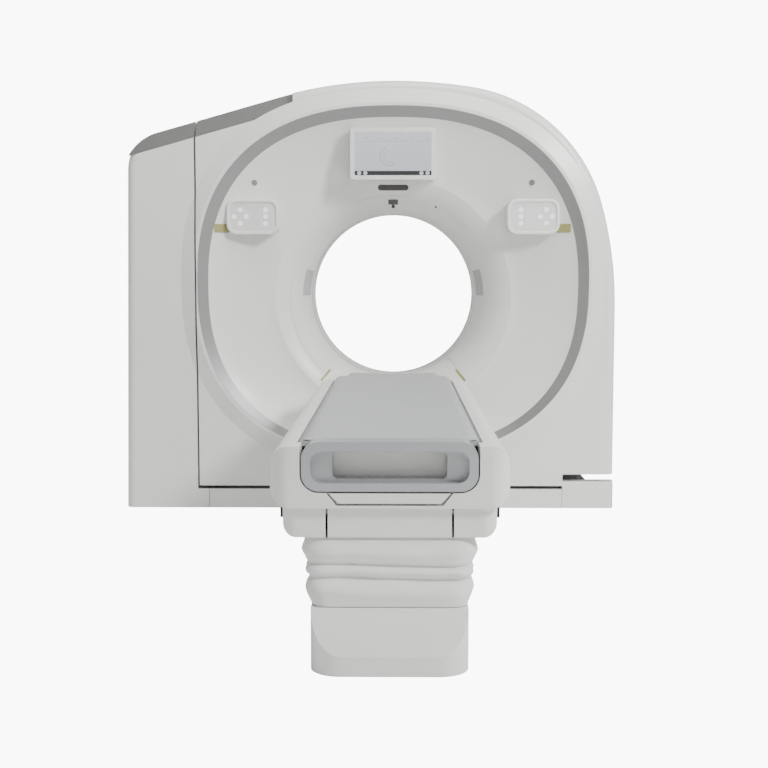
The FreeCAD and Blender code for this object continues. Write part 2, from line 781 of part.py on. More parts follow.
def make_front_furniture(space):
    monitor_z = val("monitor_height")
    half_width = val("monitor_half_width")
    half_height = val("monitor_half_height")
    front = val("monitor_y")
    rim = val("monitor_rim")
    bezel = plate_block(0, monitor_z, half_width, half_height, front, 150, 14)
    recess = plate_block(0, monitor_z, half_width - rim, half_height - rim, front - 1, 5, 4)
    screen = plate_block(0, monitor_z, half_width - rim - 0.3, half_height - rim - 0.3, front + 1.5, 2.5, 4)
    node(shaped("monitor_bezel", bezel.common(space).cut(recess)), "monitor_bezel")
    node(shaped("monitor_screen", screen), "monitor_screen")

    tall = val("camera_half_height")
    blank = plate_block(0, val("camera_height"), val("camera_half_width"), tall,
                        val("crease_y") - 70, 200, tall - 0.5)
    skin = turned(funnel_profile(funnel_curve(val("panel_proud")), funnel_curve(0), 1000), 40, 90)
    node(shaped("camera_window", skin.common(blank)), "camera_window")

    shallow = space.copy()
    shallow.translate(V(0, -4, 0))
    lenses = []
    for sign in (-1, 1):
        start = V(sign * val("lens_x"), -400, val("lens_height"))
        rod = Part.makeCylinder(val("lens_radius"), 200, start, V(0, 1, 0))
        lenses.append(rod.common(space).cut(shallow))
    node(shaped("marker_lenses", Part.makeCompound(lenses)), "marker_lenses")

    pad_front = val("pad_y")
    pitch = val("key_pitch")
    key_places = [(1.9, 1.0), (2.8, 0.0), (1.0, 0.0), (1.9, -1.0), (-1.9, 1.0), (-1.9, 0.0), (-1.9, -1.0)]
    pads = []
    keys = []
    for sign in (-1, 1):
        centre = sign * val("pad_x")
        pad = plate_block(centre, val("pad_height"), val("pad_half_width"), val("pad_half_height"),
                          pad_front, 150, val("pad_round"))
        pads.append(pad.common(space))
        for outward, up in key_places:
            spot = V(centre + sign * outward * pitch, pad_front - 1.2, val("pad_height") + up * pitch)
            keys.append(Part.makeCylinder(val("key_radius"), 1.2, spot, V(0, 1, 0)))
    node(shaped("control_pads", Part.makeCompound(pads)), "control_pads")
    node(shaped("pad_keys", Part.makeCompound(keys)), "pad_keys")


# ---------------------------------------------------------------- tilting gantry: structure
def make_tilt_frame():
    iso = ("0", "iso_height")
    back = "frame_y + frame_thick"
    disc = cylinder("frame_disc", "Y", iso, "frame_radius", "frame_y", back)
    arms = []
    for side, x in (("left", ("0 - arm_x - arm_thick", "0 - arm_x")),
                    ("right", ("arm_x", "arm_x + arm_thick"))):
        arms.append(box(side + "_arm", x, ("0 - arm_half", back),
                        ("iso_height - arm_half", "iso_height + arm_half")))
    seat = tube("bearing_seat", "Y", iso, "race_outer + 20", "race_outer", "race_y", back)
    blank = fuse("tilt_frame", disc, *arms)
    hole = cylinder("frame_hole", "Y", iso, "race_outer", "frame_y - 1", back + " + 1")
    node(fuse("tilt_frame_full", cut("tilt_frame", blank, hole), seat), "tilt_frame")
    left = cylinder("left_trunnion", "X", iso, "trunnion_radius",
                    "pillar_left_x + split_gap / 4", "0 - arm_x - arm_thick")
    right = cylinder("right_trunnion", "X", iso, "trunnion_radius",
                     "arm_x + arm_thick", "pillar_right_x + pillar_wide")
    node(group("trunnions", [left, right]), "trunnions")
    outer_race = tube("outer_race", "Y", iso, "race_outer", "race_split + fit", "race_y", "race_y + 40")
    node(outer_race, "outer_race")


# ---------------------------------------------------------------- rotor
def sector(inner, outer, low, high, middle, half_angle):
    """Part of a ring about the bore's axis, its middle at an angle from +X towards +Z."""
    iso = val("iso_height")
    places = [(inner, low), (outer, low), (outer, high), (inner, high), (inner, low)]
    corners = [V(radius, y, iso) for radius, y in places]
    return turned(Part.makePolygon(corners), 2 * half_angle, middle)


def make_rotor():
    iso = ("0", "iso_height")
    disc = tube("rotor_disc", "Y", iso, "rotor_radius", "rotor_inner", "rotor_y", "rotor_y + rotor_thick")
    hub = tube("rotor_hub", "Y", iso, "race_inner", "rotor_inner", "rotor_y", "race_y + 40")
    node(fuse("rotor_drum", disc, hub), "rotor_drum")
    node(tube("inner_race", "Y", iso, "race_split", "race_inner", "race_y", "race_y + 40"), "inner_race")
    node(tube("slip_ring", "Y", iso, "rotor_radius - 8", "slip_ring_inner", "rotor_y + rotor_thick",
              "rotor_y + rotor_thick + 30"), "slip_ring")
    back = val("rotor_y")
    height = "iso_height + tube_height"
    node(cylinder("xray_tube", "Y", ("0", height), "tube_radius", "tube_front", "rotor_y"), "xray_tube")
    node(box("collimator", ("0 - 90", "90"), ("0 - 45", "rotor_y"),
             ("iso_height + rotor_inner + 10", "iso_height + tube_height - tube_radius")), "collimator")
    reach = val("detector_radius")
    node(shaped("detector_arc", sector(reach, reach + val("detector_thick"), -val("detector_half"), back,
                                       270, val("detector_half_angle"))), "detector_arc")
    node(shaped("high_voltage_generator", sector(450, 670, -100, back, 165, 20)), "high_voltage_generator")
    node(shaped("heat_exchanger", sector(450, 670, -100, back, 20, 22)), "heat_exchanger")
    node(shaped("counterweight", sector(520, 670, 0, back, 215, 12)), "counterweight")


# ---------------------------------------------------------------- patient table
def pedestal_block(inset, low, high_extra):
    """Skirt with a top that slopes up from the near end."""
    near = val("pedestal_near_y") + inset
    far = val("pedestal_far_y") - inset
    top_near = val("pedestal_top_near_y") + inset
    skirt = val("pedestal_skirt") - inset / 2
    top = val("pedestal_height") + high_extra
    half = val("pedestal_half") - inset
    corners = [V(-half, near, low), V(-half, near, skirt), V(-half, top_near, top),
               V(-half, far, top), V(-half, far, low), V(-half, near, low)]
    sloped = Part.Face(Part.makePolygon(corners)).extrude(V(2 * half, 0, 0))
    plan = Part.makeBox(2 * half, far - near, 2 * top, V(-half, near, low))
    for middle, radius in ((near, val("pedestal_round")), (far, val("pedestal_far_round"))):
        upright = [edge for edge in plan.Edges if along(edge, "Z") and abs(edge.BoundBox.YMin - middle) < 1]
        plan = plan.makeFillet(radius - inset, upright)
    return sloped.common(plan)


def make_pedestal():
    outer = pedestal_block(0, 0, 0)
    wall = val("pedestal_wall")
    inner = pedestal_block(wall, -10, -wall)
    reach = val("column_outer") + 15
    opening = Part.makeBox(2 * reach, 2 * reach, 400, V(-reach, val("column_y") - reach, 0))
    node(shaped("pedestal_cover", outer.cut(inner).cut(opening)), "pedestal_cover")


def square_tube(name, half, low, high):
    outer = box(name + "_outer", ("0 - " + half, half),
                ("column_y - " + half, "column_y + " + half), (low, high))
    thin = half + " - column_wall"
    inner = box(name + "_inner", ("0 - " + half + " + column_wall", thin),
                ("column_y - " + half + " + column_wall", "column_y + " + thin),
                (low + " - 1", high + " + 1"))
    return cut(name, outer, inner)


def make_columns():
    node(square_tube("column_outer_stage", "column_outer", "table_plate_thick", "column_top"),
         "column_outer_stage")
    node(square_tube("column_middle_stage", "column_middle", "table_plate_thick + 8",
                     "column_top + column_step"), "column_middle_stage")
    node(square_tube("column_inner_stage", "column_inner", "table_plate_thick + 16",
                     "box_top - cover_drop - carriage_thick"), "column_inner_stage")
    node(cylinder("lift_spindle", "Z", ("0", "column_y"), "spindle_radius",
                  "table_plate_thick", "column_top - 10"), "lift_spindle")


def make_bellows():
    """A sleeve that leans forward from under the lower covers to the pedestal's top."""
    gap = val("seat_gap")
    low = val("pedestal_height") + gap
    high = val("box_bottom") - gap

    def sleeve(inset, low_z, high_z):
        rings = []
        for half, near, z in (("bellows_low_half", "bellows_near_y", low_z),
                              ("bellows_half", "bellows_top_near_y", high_z)):
            x = val(half) - inset
            near_y = val(near) + inset
            far_y = val("bellows_far_y") - inset
            corners = [V(-x, near_y, z), V(x, near_y, z), V(x, far_y, z), V(-x, far_y, z), V(-x, near_y, z)]
            rings.append(Part.makePolygon(corners))
        return Part.makeLoft(rings, True, True)

    node(shaped("bellows", sleeve(0, low, high).cut(sleeve(val("bellows_wall"), low, high))), "bellows")


def make_lower_box():
    """Three covers round the lift carriage, with a gap either side of the middle one."""
    near, far, low, high = "box_near_y", "box_far_y", "box_bottom", "box_top"
    wall = "cover_wall"
    left = ("0 - box_half", "0 - box_split - box_gap / 2")
    left_hollow = ("0 - box_half + " + wall, "0 - box_split")
    right = ("box_split + box_gap / 2", "box_half")
    right_hollow = ("box_split", "box_half - " + wall)
    covers = []
    for side, x, hollow_x in (("left", left, left_hollow), ("right", right, right_hollow)):
        blank = box(side + "_lower_blank", x, (near, far), (low, high))
        hollow = box(side + "_lower_hollow", hollow_x, (near + " + " + wall, far + " - " + wall),
                     (low + " + " + wall, high + " + box_round"))
        shell = rounded_outside(side + "_lower_cover", blank, "box_round", val("box_half"), val(low))
        cavity = rounded_outside(side + "_lower_cavity", hollow, "box_round - " + wall,
                                 val("box_half - " + wall), val(low + " + " + wall))
        covers.append(cut(side + "_lower_cover", shell, cavity))
    node(group("side_lower_covers", covers), "side_lower_covers")
    middle = box("centre_lower_blank", ("0 - box_split + box_gap / 2", "box_split - box_gap / 2"),
                 (near, far), (low, high))
    hollow = box("centre_lower_hollow", ("0 - box_split", "box_split"),
                 (near + " + " + wall, far + " - " + wall), (low + " + " + wall, high + " + 1"))
    mouth = box("centre_lower_mouth", ("0 - column_outer", "column_outer"),
                ("column_y - column_outer", "column_y + column_outer"), (low + " - 1", low + " + 10"))
    node(cut("centre_lower_cover", middle, hollow, mouth), "centre_lower_cover")


def rounded_outside(name, block, radius, side_x, low_z):
    """A block rounded along its outer side: the two upright edges and the long edge under it."""
    def chosen(edge):
        bounds = edge.BoundBox
        outside = abs(max(abs(bounds.XMin), abs(bounds.XMax)) - side_x) < 1
        return outside and (along(edge, "Z") or (along(edge, "Y") and bounds.ZMax < low_z + 1))
    return rounded(name, block, radius, chosen)


def make_carriage():
    """The welded frame on the lift column: cross rails for the shift, brackets for the covers."""
    x = ("0 - box_half + box_round", "box_half - box_round")
    near = "box_near_y + cover_wall + seat_gap"
    far = "box_far_y - cover_wall - seat_gap"
    under = "box_top - cover_drop - carriage_thick"
    pieces = [box("carriage_plate", x, (near, far), (under, "box_top - cover_drop"))]
    for number, low in enumerate(("box_near_y + 200", "box_far_y - 260")):
        pieces.append(box("cross_rail_%d" % number, x, (low, low + " + 60"),
                          ("box_top - cover_drop", "table_bottom")))
    for number, low in enumerate(("0 - box_split - box_gap / 2 - 14", "box_split + box_gap / 2 + 2")):
        pieces.append(box("cover_bracket_%d" % number, (low, low + " + 12"),
                          ("box_near_y + 120", "box_far_y - 120"), ("box_bottom + cover_wall", under)))
    node(fuse("carriage_frame", *pieces), "carriage_frame")
    bumpers = []
    for number, low in enumerate(("0 - box_half - 9", "box_half")):
        bumpers.append(box("side_bumper_%d" % number, (low, low + " + 9"),
                           ("box_near_y + 60", "box_near_y + 200"), ("box_top - 34", "box_top - 4")))
    node(group("side_bumpers", bumpers), "side_bumpers")


def make_table_body():
    low = "table_bottom + seat_gap"
    blank = box("table_body_blank", ("0 - table_half_width", "table_half_width"),
                ("table_near_y", "table_far_y"), (low, "table_rail_top"))
    near = val("table_near_y") + 1
    smooth = rounded("table_body", blank, "body_round",
                     lambda edge: along(edge, "Y") or (along(edge, "Z") and edge.BoundBox.YMax < near))
    channel = box("channel", ("0 - channel_half", "channel_half"), ("cradle_near_y - 2", "table_far_y + 1"),
                  ("channel_floor", "table_rail_top + 1"))
    notch = shaped("front_notch", trapezoid_block(0))
    pocket = shaped("handle_pocket", handle_pocket())
    node(cut("table_body", smooth, channel, notch, pocket), "table_body")
    node(shaped("table_end_panel", trapezoid_block(6)), "table_end_panel")
    rails = []
    for number, x in enumerate((("0 - channel_half", "0 - channel_half + rail_reach - 1.5"),
                                ("channel_half - rail_reach + 1.5", "channel_half"))):
        rails.append(box("guide_rail_%d" % number, x, ("table_near_y + 110", "table_far_y"),
                         ("cradle_edge_under - seat_gap - rail_thick", "cradle_edge_under - seat_gap")))
    node(group("guide_rails", rails), "guide_rails")
    node(box("feed_drive", ("0 - 60", "60"), ("table_far_y - 440", "table_far_y - 340"),
             ("channel_floor", "cradle_under - 18 - seat_gap")), "feed_drive")


def handle_pocket():
    """The end of the channel, which follows the handle with a narrow gap and is open above."""
    gap = 4
    half = val("handle_half") + gap
    tall = (val("handle_top") - val("handle_bottom")) / 2
    middle = val("handle_bottom") + tall
    near = val("table_near_y") - 1
    depth = val("cradle_near_y") + 1 - near
    block = plate_block(0, middle, half, tall + gap, near, depth, val("handle_round") + gap)
    return block.fuse(Part.makeBox(2 * half, depth, 2 * tall, V(-half, near, middle)))


def trapezoid_block(gap):
    """The end panel of the table body; with a gap it is the panel, without one its notch."""
    top_half = 167 - gap
    low_half = 141 - gap
    top = val("channel_floor") + (0 if gap else 1)
    low = val("table_bottom") + 8 + gap
    y = val("table_near_y") - (0 if gap else 1)
    depth = 23 if gap else 24
    places = [(-top_half, top), (top_half, top), (low_half, low), (-low_half, low), (-top_half, top)]
    corners = [V(x, y, z) for x, z in places]
    return Part.Face(Part.makePolygon(corners)).extrude(V(0, depth, 0))


def cradle_section(top_lift, under_lift):
    """The cradle's section at the near end: hollowed top, rounded underside."""
    half = val("cradle_half")
    y = val("cradle_near_y")
    edge_top = val("cradle_top") + top_lift
    sag = val("cradle_sag")
    edge_under = val("cradle_edge_under") + under_lift
    under = val("cradle_under") + under_lift
    flat = half - 22
    top = Part.Arc(V(-half, y, edge_top), V(0, y, edge_top - sag), V(half, y, edge_top)).toShape()
    low_arc = Part.Arc(V(-flat, y, edge_under), V(0, y, under), V(flat, y, edge_under)).toShape()
    edges = [
        top,
        Part.makeLine(V(half, y, edge_top), V(half, y, edge_under)),
        Part.makeLine(V(half, y, edge_under), V(flat, y, edge_under)),
        low_arc,
        Part.makeLine(V(-flat, y, edge_under), V(-half, y, edge_under)),
        Part.makeLine(V(-half, y, edge_under), V(-half, y, edge_top)),
    ]
    return Part.Face(Part.Wire(Part.__sortEdges__(edges)))


def cradle_plan(inset):
    """Seen from above: full width, then a narrower head end."""
    half = val("cradle_half") - inset
    tip_half = val("cradle_tip_half") - inset
    near = val("cradle_near_y") + inset
    far = val("cradle_far_y") - inset
    tip = val("cradle_tip_y") - inset
    side = [(half, near), (half, far - 60), (tip_half, far), (tip_half, tip)]
    other = [(-x, y) for x, y in reversed(side)]
    corners = [V(x, y, 0) for x, y in side + other + side[:1]]
    return Part.Face(Part.makePolygon(corners)).extrude(V(0, 0, 1000))


def make_cradle():
    length = val("cradle_tip_y") - val("cradle_near_y")
    tip_length = val("cradle_tip_y") - val("cradle_far_y") + 30
    board = deep(cradle_section(0, 0), length).common(cradle_plan(0))
    relief = Part.makeBox(600, tip_length, 200,
                          V(-300, val("cradle_tip_y") - tip_length, val("cradle_edge_under") - 200))
    board = board.cut(relief)
    node(shaped("cradle", board), "cradle")
    mat_face = deep(cradle_section(val("mat_thick"), 0), length)
    mat = mat_face.common(cradle_plan(4))
    below = deep(cradle_section(0.0, -60), length)
    below.translate(V(0, 0, val("seat_gap")))
    node(shaped("mat", mat.cut(below)), "mat")
    node(box("feed_rack", ("0 - 15", "15"), ("cradle_near_y + 20", "cradle_far_y - 60"),
             ("cradle_under - 18", "cradle_under - seat_gap")), "feed_rack")


def make_handle():
    depth = val("cradle_near_y") - val("table_near_y")
    front = val("table_near_y")
    height = val("handle_top") - val("handle_bottom")
    blank = plate_block(0, val("handle_bottom") + height / 2, val("handle_half"), height / 2, front, depth,
                        val("handle_round"))
    slot_height = val("slot_top") - val("slot_bottom")
    middle = val("slot_bottom") + slot_height / 2
    slot = plate_block(0, middle, val("slot_half"), slot_height / 2, front - 1, depth + 2, 14)
    recess = plate_block(0, middle, val("handle_half") - 24, slot_height / 2 + 6, front - 1, 31, 30)
    node(shaped("end_handle", blank.cut(slot).cut(recess)), "end_handle")
    gap = val("seat_gap")
    back = val("cradle_near_y") - gap
    backing = plate_block(0, middle, val("slot_half") - gap, slot_height / 2 - gap, back - 7, 7, 13)
    node(shaped("handle_backing", backing), "handle_backing")


# ---------------------------------------------------------------- build everything
make_floor_plates()
make_pillars()
make_tilt_drive()
make_tower()
make_plinth()
make_front_cover()
make_shell()
make_rear_cover()
make_ring_and_dish()
make_bore()
make_funnel_panels()
make_front_furniture(furniture_space())
make_tilt_frame()
make_rotor()
make_pedestal()
make_columns()
make_bellows()
make_lower_box()
make_carriage()
make_table_body()
make_cradle()
make_handle()
doc.recompute()

for obj in doc.Objects:
    if "Invalid" in obj.State or "Error" in obj.State:
        raise RuntimeError("%s failed: %s" % (obj.Name, obj.getStatusString()))
faulty = [obj.Label for obj in nodes
          if obj.Shape.isNull() or not obj.Shape.isValid() or not obj.Shape.Solids]
if faulty:
    raise RuntimeError("no valid solid in " + ", ".join(faulty))
for obj in nodes:
    obj.Shape.exportStep("parts/%s.step" % obj.Label)
print("wrote %d parts" % len(nodes))
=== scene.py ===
"""Looks for a CT scanner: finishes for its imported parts, the mat, the bellows and the small fittings.

Metres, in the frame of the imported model. The scan plane is at Y = 0 and the bore's axis runs along Y.
"""

import json
import math

import bmesh
import bpy
from mathutils import Matrix, Vector, noise
from mathutils.bvhtree import BVHTree


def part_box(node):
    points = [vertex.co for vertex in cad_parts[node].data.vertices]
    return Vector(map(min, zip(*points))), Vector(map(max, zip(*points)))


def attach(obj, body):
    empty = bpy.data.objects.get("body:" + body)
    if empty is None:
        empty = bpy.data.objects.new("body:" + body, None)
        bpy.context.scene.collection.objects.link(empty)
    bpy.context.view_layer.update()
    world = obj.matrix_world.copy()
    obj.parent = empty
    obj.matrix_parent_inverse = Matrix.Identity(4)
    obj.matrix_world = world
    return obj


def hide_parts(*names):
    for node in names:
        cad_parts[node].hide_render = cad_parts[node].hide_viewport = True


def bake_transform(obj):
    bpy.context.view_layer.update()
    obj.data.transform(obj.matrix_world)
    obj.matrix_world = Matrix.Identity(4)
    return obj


bl_info = {
    "name": "CT scanner looks",
    "version": (1, 0, 0),
    "blender": (4, 5, 0),
    "location": "3D View > Sidebar > Scanner",
    "description": "Gives the scanner its finishes, mat, bellows, small fittings and a studio",
    "category": "Object",
}

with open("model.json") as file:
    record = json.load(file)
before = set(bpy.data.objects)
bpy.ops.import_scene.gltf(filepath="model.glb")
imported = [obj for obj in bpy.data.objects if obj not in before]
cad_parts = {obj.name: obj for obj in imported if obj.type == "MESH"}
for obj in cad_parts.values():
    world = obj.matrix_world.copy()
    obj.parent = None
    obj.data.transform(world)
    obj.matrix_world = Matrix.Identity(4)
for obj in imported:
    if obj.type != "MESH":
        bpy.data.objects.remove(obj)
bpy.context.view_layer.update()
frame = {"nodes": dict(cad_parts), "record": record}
AXIS_HEIGHT = 0.93
FUNNEL_LOW, FUNNEL_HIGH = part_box("bore_funnel")
PAD_LOW, PAD_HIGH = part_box("control_pads")
SCREEN_LOW, SCREEN_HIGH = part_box("monitor_screen")
BELLOWS_LOW, BELLOWS_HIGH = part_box("bellows")
BELLOWS_FOOT_HALF = 0.205
BELLOWS_LEAN = 0.060
BELLOWS_RINGS = 44
MAT_PRESSURE = 4.0
MAT_FRAMES = 20
CAMERA_PLACE = (0.020, -5.806, 1.035)
CAMERA_DIP = 5.12
CAMERA_TURN = 0.62
SENSOR_WIDTH = 36.0
FOCAL_SHARE = 1250.0 / 768.0


# ---------------------------------------------------------------- sizes and colours
def length(name, text, default, low=0.0):
    return bpy.props.FloatProperty(name=name, description=text, default=default, min=low,
                                   subtype="DISTANCE", unit="LENGTH", precision=4)


def colour(name, text, default):
    return bpy.props.FloatVectorProperty(name=name, description=text, default=default, size=3,
                                         min=0.0, max=1.0, subtype="COLOR")


def share(name, text, default):
    return bpy.props.FloatProperty(name=name, description=text, default=default, min=0.0, max=1.0,
                                   subtype="FACTOR")


class ScannerSizes(bpy.types.PropertyGroup):
    mat_voxel: length("Mat voxel", "Grid that the mat is remeshed on", 0.006, 0.004)
    mat_swell: length("Mat swell", "The most that the mat's top may rise as it fills", 0.0035)
    bellows_bulge: length("Bellows bulge", "How far each fold of the bellows stands out", 0.019)
    bellows_crease: length("Bellows crease", "How far each crease goes in", 0.012)
    bellows_cloth: length("Bellows cloth", "Thickness of the coated cloth", 0.0012)
    rim_width: length("Pad rim width", "Width of the raised rim on a control pad", 0.013)
    rim_height: length("Pad rim height", "How far the rim stands out", 0.005)
    dot_radius: length("Sensor radius", "Radius of the small dark sensors", 0.0055)
    tab_half_width: length("Tab half width", "Half the width of a colour tab", 0.031)
    tab_half_height: length("Tab half height", "Half the height of a colour tab", 0.0185)
    tab_thick: length("Tab thickness", "How far a tab stands out", 0.0012)


class ScannerColours(bpy.types.PropertyGroup):
    cover: colour("Covers", "Large moulded covers", (0.79, 0.79, 0.762))
    dish: colour("Dish", "Dish and funnel", (0.80, 0.796, 0.765))
    trim: colour("Top trim", "Sloped grey trim", (0.165, 0.17, 0.162))
    ring: colour("Ring", "Oval ring round the dish", (0.29, 0.297, 0.29))
    handle: colour("Handle", "Loop at the end of the table", (0.46, 0.475, 0.485))
    mat: colour("Mat", "Coated mat", (0.27, 0.275, 0.272))
    cloth: colour("Bellows", "Coated cloth", (0.52, 0.52, 0.497))
    tab: colour("Tabs", "Plain colour tabs", (0.34, 0.32, 0.12))
    unevenness: share("Unevenness", "How much the cover colour drifts", 0.025)


# ---------------------------------------------------------------- node trees
class Signal:
    """A socket of a finish's node tree that takes part in arithmetic."""

    def __init__(self, tree, socket):
        self.tree = tree
        self.socket = socket

    def maths(self, operation, *values):
        return self.tree.add("ShaderNodeMath", {"operation": operation}, dict(enumerate(values)))

    def __add__(self, other):
        return self.maths("ADD", self, other)

    __radd__ = __add__

    def __sub__(self, other):
        return self.maths("SUBTRACT", self, other)

    def __rsub__(self, other):
        return self.maths("SUBTRACT", other, self)

    def __mul__(self, other):
        return self.maths("MULTIPLY", self, other)

    __rmul__ = __mul__

    def __truediv__(self, other):
        return self.maths("DIVIDE", self, other)

    def __lt__(self, other):
        return self.maths("LESS_THAN", self, other)

    def __gt__(self, other):
        return self.maths("GREATER_THAN", self, other)

    def __abs__(self):
        return self.maths("ABSOLUTE", self)

    def sine(self):
        return self.maths("SINE", self)

    def root(self):
        return self.maths("SQRT", self)


class Finish:
    """One material made of nodes, with its shader and its object coordinates."""

    def __init__(self, name):
        self.material = bpy.data.materials.new(name)
        self.material.use_nodes = True
        self.tree = self.material.node_tree
        self.shader = next(n for n in self.tree.nodes if n.type == "BSDF_PRINCIPLED")
        self.place = self.add("ShaderNodeTexCoord", output="Object")
        split = self.add("ShaderNodeSeparateXYZ", inputs={0: self.place}, output="X")
        outputs = split.socket.node.outputs
        self.x, self.y, self.z = (Signal(self, outputs[axis]) for axis in "XYZ")

    def add(self, kind, settings=None, inputs=None, output=0):
        """Any node: its settings first, then the values or links of its sockets."""
        made = self.tree.nodes.new(kind)
        for name, value in (settings or {}).items():
            if name == "stops":
                ramp = made.color_ramp
                for number, (position, tint) in enumerate(value):
                    stop = ramp.elements[number] if number < 2 else ramp.elements.new(position)
                    stop.position = position
                    stop.color = (*tint, 1.0)
            else:
                setattr(made, name, value)
        for key, value in (inputs or {}).items():
            if isinstance(value, Signal):
                self.tree.links.new(value.socket, made.inputs[key])
            else:
                made.inputs[key].default_value = value
        return Signal(self, made.outputs[output])

    def noise(self, scale, detail=2.0, roughness=0.5, place=None, distortion=0.0):
        return self.add("ShaderNodeTexNoise", inputs={
            "Vector": place or self.place, "Scale": scale, "Detail": detail,
            "Roughness": roughness, "Distortion": distortion})

    def stretched(self, scale):
        """Object coordinates scaled by a different amount on each axis."""
        return self.add("ShaderNodeMapping", inputs={"Vector": self.place, "Scale": scale})

    def blend(self, factor, first, second):
        """A colour between two, each a colour or a link."""
        values = {0: factor}
        for socket, value in ((6, first), (7, second)):
            values[socket] = value if isinstance(value, Signal) else (*value, 1.0)
        return self.add("ShaderNodeMix", {"data_type": "RGBA"}, values, output=2)

    def soft_step(self, value, low, high):
        return self.add("ShaderNodeMapRange", {"interpolation_type": "SMOOTHSTEP"}, {
            "Value": value, "From Min": low, "From Max": high, "To Min": 0.0, "To Max": 1.0})

    def bump(self, height, distance, strength=1.0):
        return self.add("ShaderNodeBump", inputs={"Height": height, "Distance": distance,
                                                 "Strength": strength})

    def apply(self, **sockets):
        names = {"base": "Base Color", "rough": "Roughness", "metal": "Metallic", "coat": "Coat Weight",
                 "coat_rough": "Coat Roughness", "normal": "Normal", "glow": "Emission Color",
                 "glow_strength": "Emission Strength", "sheen": "Sheen Weight",
                 "sheen_rough": "Sheen Roughness", "level": "Specular IOR Level"}
        for key, value in sockets.items():
            socket = self.shader.inputs[names[key]]
            if isinstance(value, Signal):
                self.tree.links.new(value.socket, socket)
            elif isinstance(value, (tuple, list)):
                socket.default_value = (*value, 1.0)
            else:
                socket.default_value = value
        return self.material


def tinted(base, factor):
    return tuple(min(1.0, channel * factor) for channel in base)


# ---------------------------------------------------------------- finishes
def moulded_cover(name, base, drift, gloss=0.34):
    """Satin moulded plastic: a slow drift of colour, faint waviness and a colour that darkens towards the
    bottom.
    """
    f = Finish(name)
    slow = f.noise(1.3, 3.0)
    speck = f.noise(240.0, 2.0)
    # The colour darkens towards the bottom, within 0.22 m of the floor.
    darker_low_down = 1 - f.soft_step(f.z, 0.0, 0.22)
    tone = f.blend(slow * 0.8 + speck * 0.2, tinted(base, 1 - 2 * drift), tinted(base, 1 + 2 * drift))
    tone = f.blend(darker_low_down * (0.1 + 0.25 * f.noise(9.0, 4.0)), tone, tinted(base, 0.72))
    ripple = f.noise(5.0, 2.0) * 0.6 + f.noise(900.0, 1.0) * 0.02
    return f.apply(base=tone, rough=gloss + 0.1 * f.noise(14.0, 3.0) - 0.03, coat=0.12, coat_rough=0.2,
                   normal=f.bump(ripple, 0.0006, 0.5))


def metallic_paint(name, base, gloss=0.3, metal=0.55):
    """Silver paint: fine flakes under a clear coat."""
    f = Finish(name)
    flakes = f.add("ShaderNodeTexVoronoi", inputs={"Vector": f.place, "Scale": 1800.0}, output="Color")
    flake = f.add("ShaderNodeSeparateColor", inputs={0: flakes})
    tone = f.blend(flake * 0.35 + f.noise(2.0, 3.0) * 0.65, tinted(base, 0.86), tinted(base, 1.14))
    return f.apply(base=tone, rough=gloss + 0.08 * f.noise(30.0, 3.0), metal=metal, coat=0.25,
                   coat_rough=0.15, normal=f.bump(f.noise(700.0, 1.0), 0.0001, 0.4))


def satin_paint(name, base, gloss=0.42, metal=0.0):
    """Sprayed paint with fine orange peel and slightly rubbed tone."""
    f = Finish(name)
    tone = f.blend(f.noise(6.0, 4.0), tinted(base, 0.88), tinted(base, 1.1))
    peel = f.noise(520.0, 2.0)
    return f.apply(base=tone, rough=gloss + 0.14 * f.noise(22.0, 4.0), metal=metal,
                   normal=f.bump(peel, 0.0003, 0.5))


def turned_metal(name, base, gloss=0.28):
    """Ground or turned metal with fine circular lines about the bore's axis."""
    f = Finish(name)
    height = f.z - AXIS_HEIGHT
    radius = (f.x * f.x + height * height).root()
    lines = (radius * 9000.0).sine() * 0.5 + 0.5
    tone = f.blend(lines * 0.4 + f.noise(8.0, 3.0) * 0.6, tinted(base, 0.8), tinted(base, 1.12))
    return f.apply(base=tone, rough=gloss + 0.12 * f.noise(40.0, 3.0), metal=1.0,
                   normal=f.bump(lines, 0.00005, 0.6))


def glossy_panel(name, base, gloss=0.12):
    """Smooth glossy plastic or coated glass with faint fingerprints."""
    f = Finish(name)
    tone = f.blend(f.noise(30.0, 2.0), tinted(base, 0.9), tinted(base, 1.08))
    smear = f.noise(18.0, 5.0, 0.7, f.stretched((1.0, 1.0, 2.5)))
    return f.apply(base=tone, rough=gloss + 0.12 * smear, coat=0.4, coat_rough=0.06,
                   normal=f.bump(smear, 0.00008, 0.4))


def moulded_rubber(name, base):
    f = Finish(name)
    grain = f.noise(900.0, 3.0, 0.6)
    tone = f.blend(f.noise(12.0, 4.0), tinted(base, 0.7), tinted(base, 1.6))
    return f.apply(base=tone, rough=0.62 + 0.2 * f.noise(50.0, 2.0), normal=f.bump(grain, 0.0003, 0.7))


def coated_vinyl(name, base):
    """The mat's coated cover: leather-like grain, soft cross creases with painted shade along them, and
    rubbed, shinier patches.
    """
    f = Finish(name)
    grain = f.add("ShaderNodeTexVoronoi", {"feature": "DISTANCE_TO_EDGE"},
                  {"Vector": f.place, "Scale": 420.0}, output="Distance")
    worn = f.noise(3.5, 4.0)
    crease = f.noise(5.0, 4.0, 0.55, f.stretched((0.5, 2.6, 1.0)), 1.2)
    crease_line_and_shade = 1 - f.soft_step(abs(crease - 0.5), 0.0, 0.05)
    tone = f.blend(worn, tinted(base, 0.9), tinted(base, 1.1))
    # Painted shade: the colour darkens along the creases.
    tone = f.blend(crease_line_and_shade * 0.22, tone, tinted(base, 0.74))
    height = f.soft_step(grain, 0.0, 0.12) * 0.12 - crease_line_and_shade * 0.8
    return f.apply(base=tone, rough=0.5 - 0.14 * worn, sheen=0.08, sheen_rough=0.4,
                   normal=f.bump(height, 0.0012, 0.45))


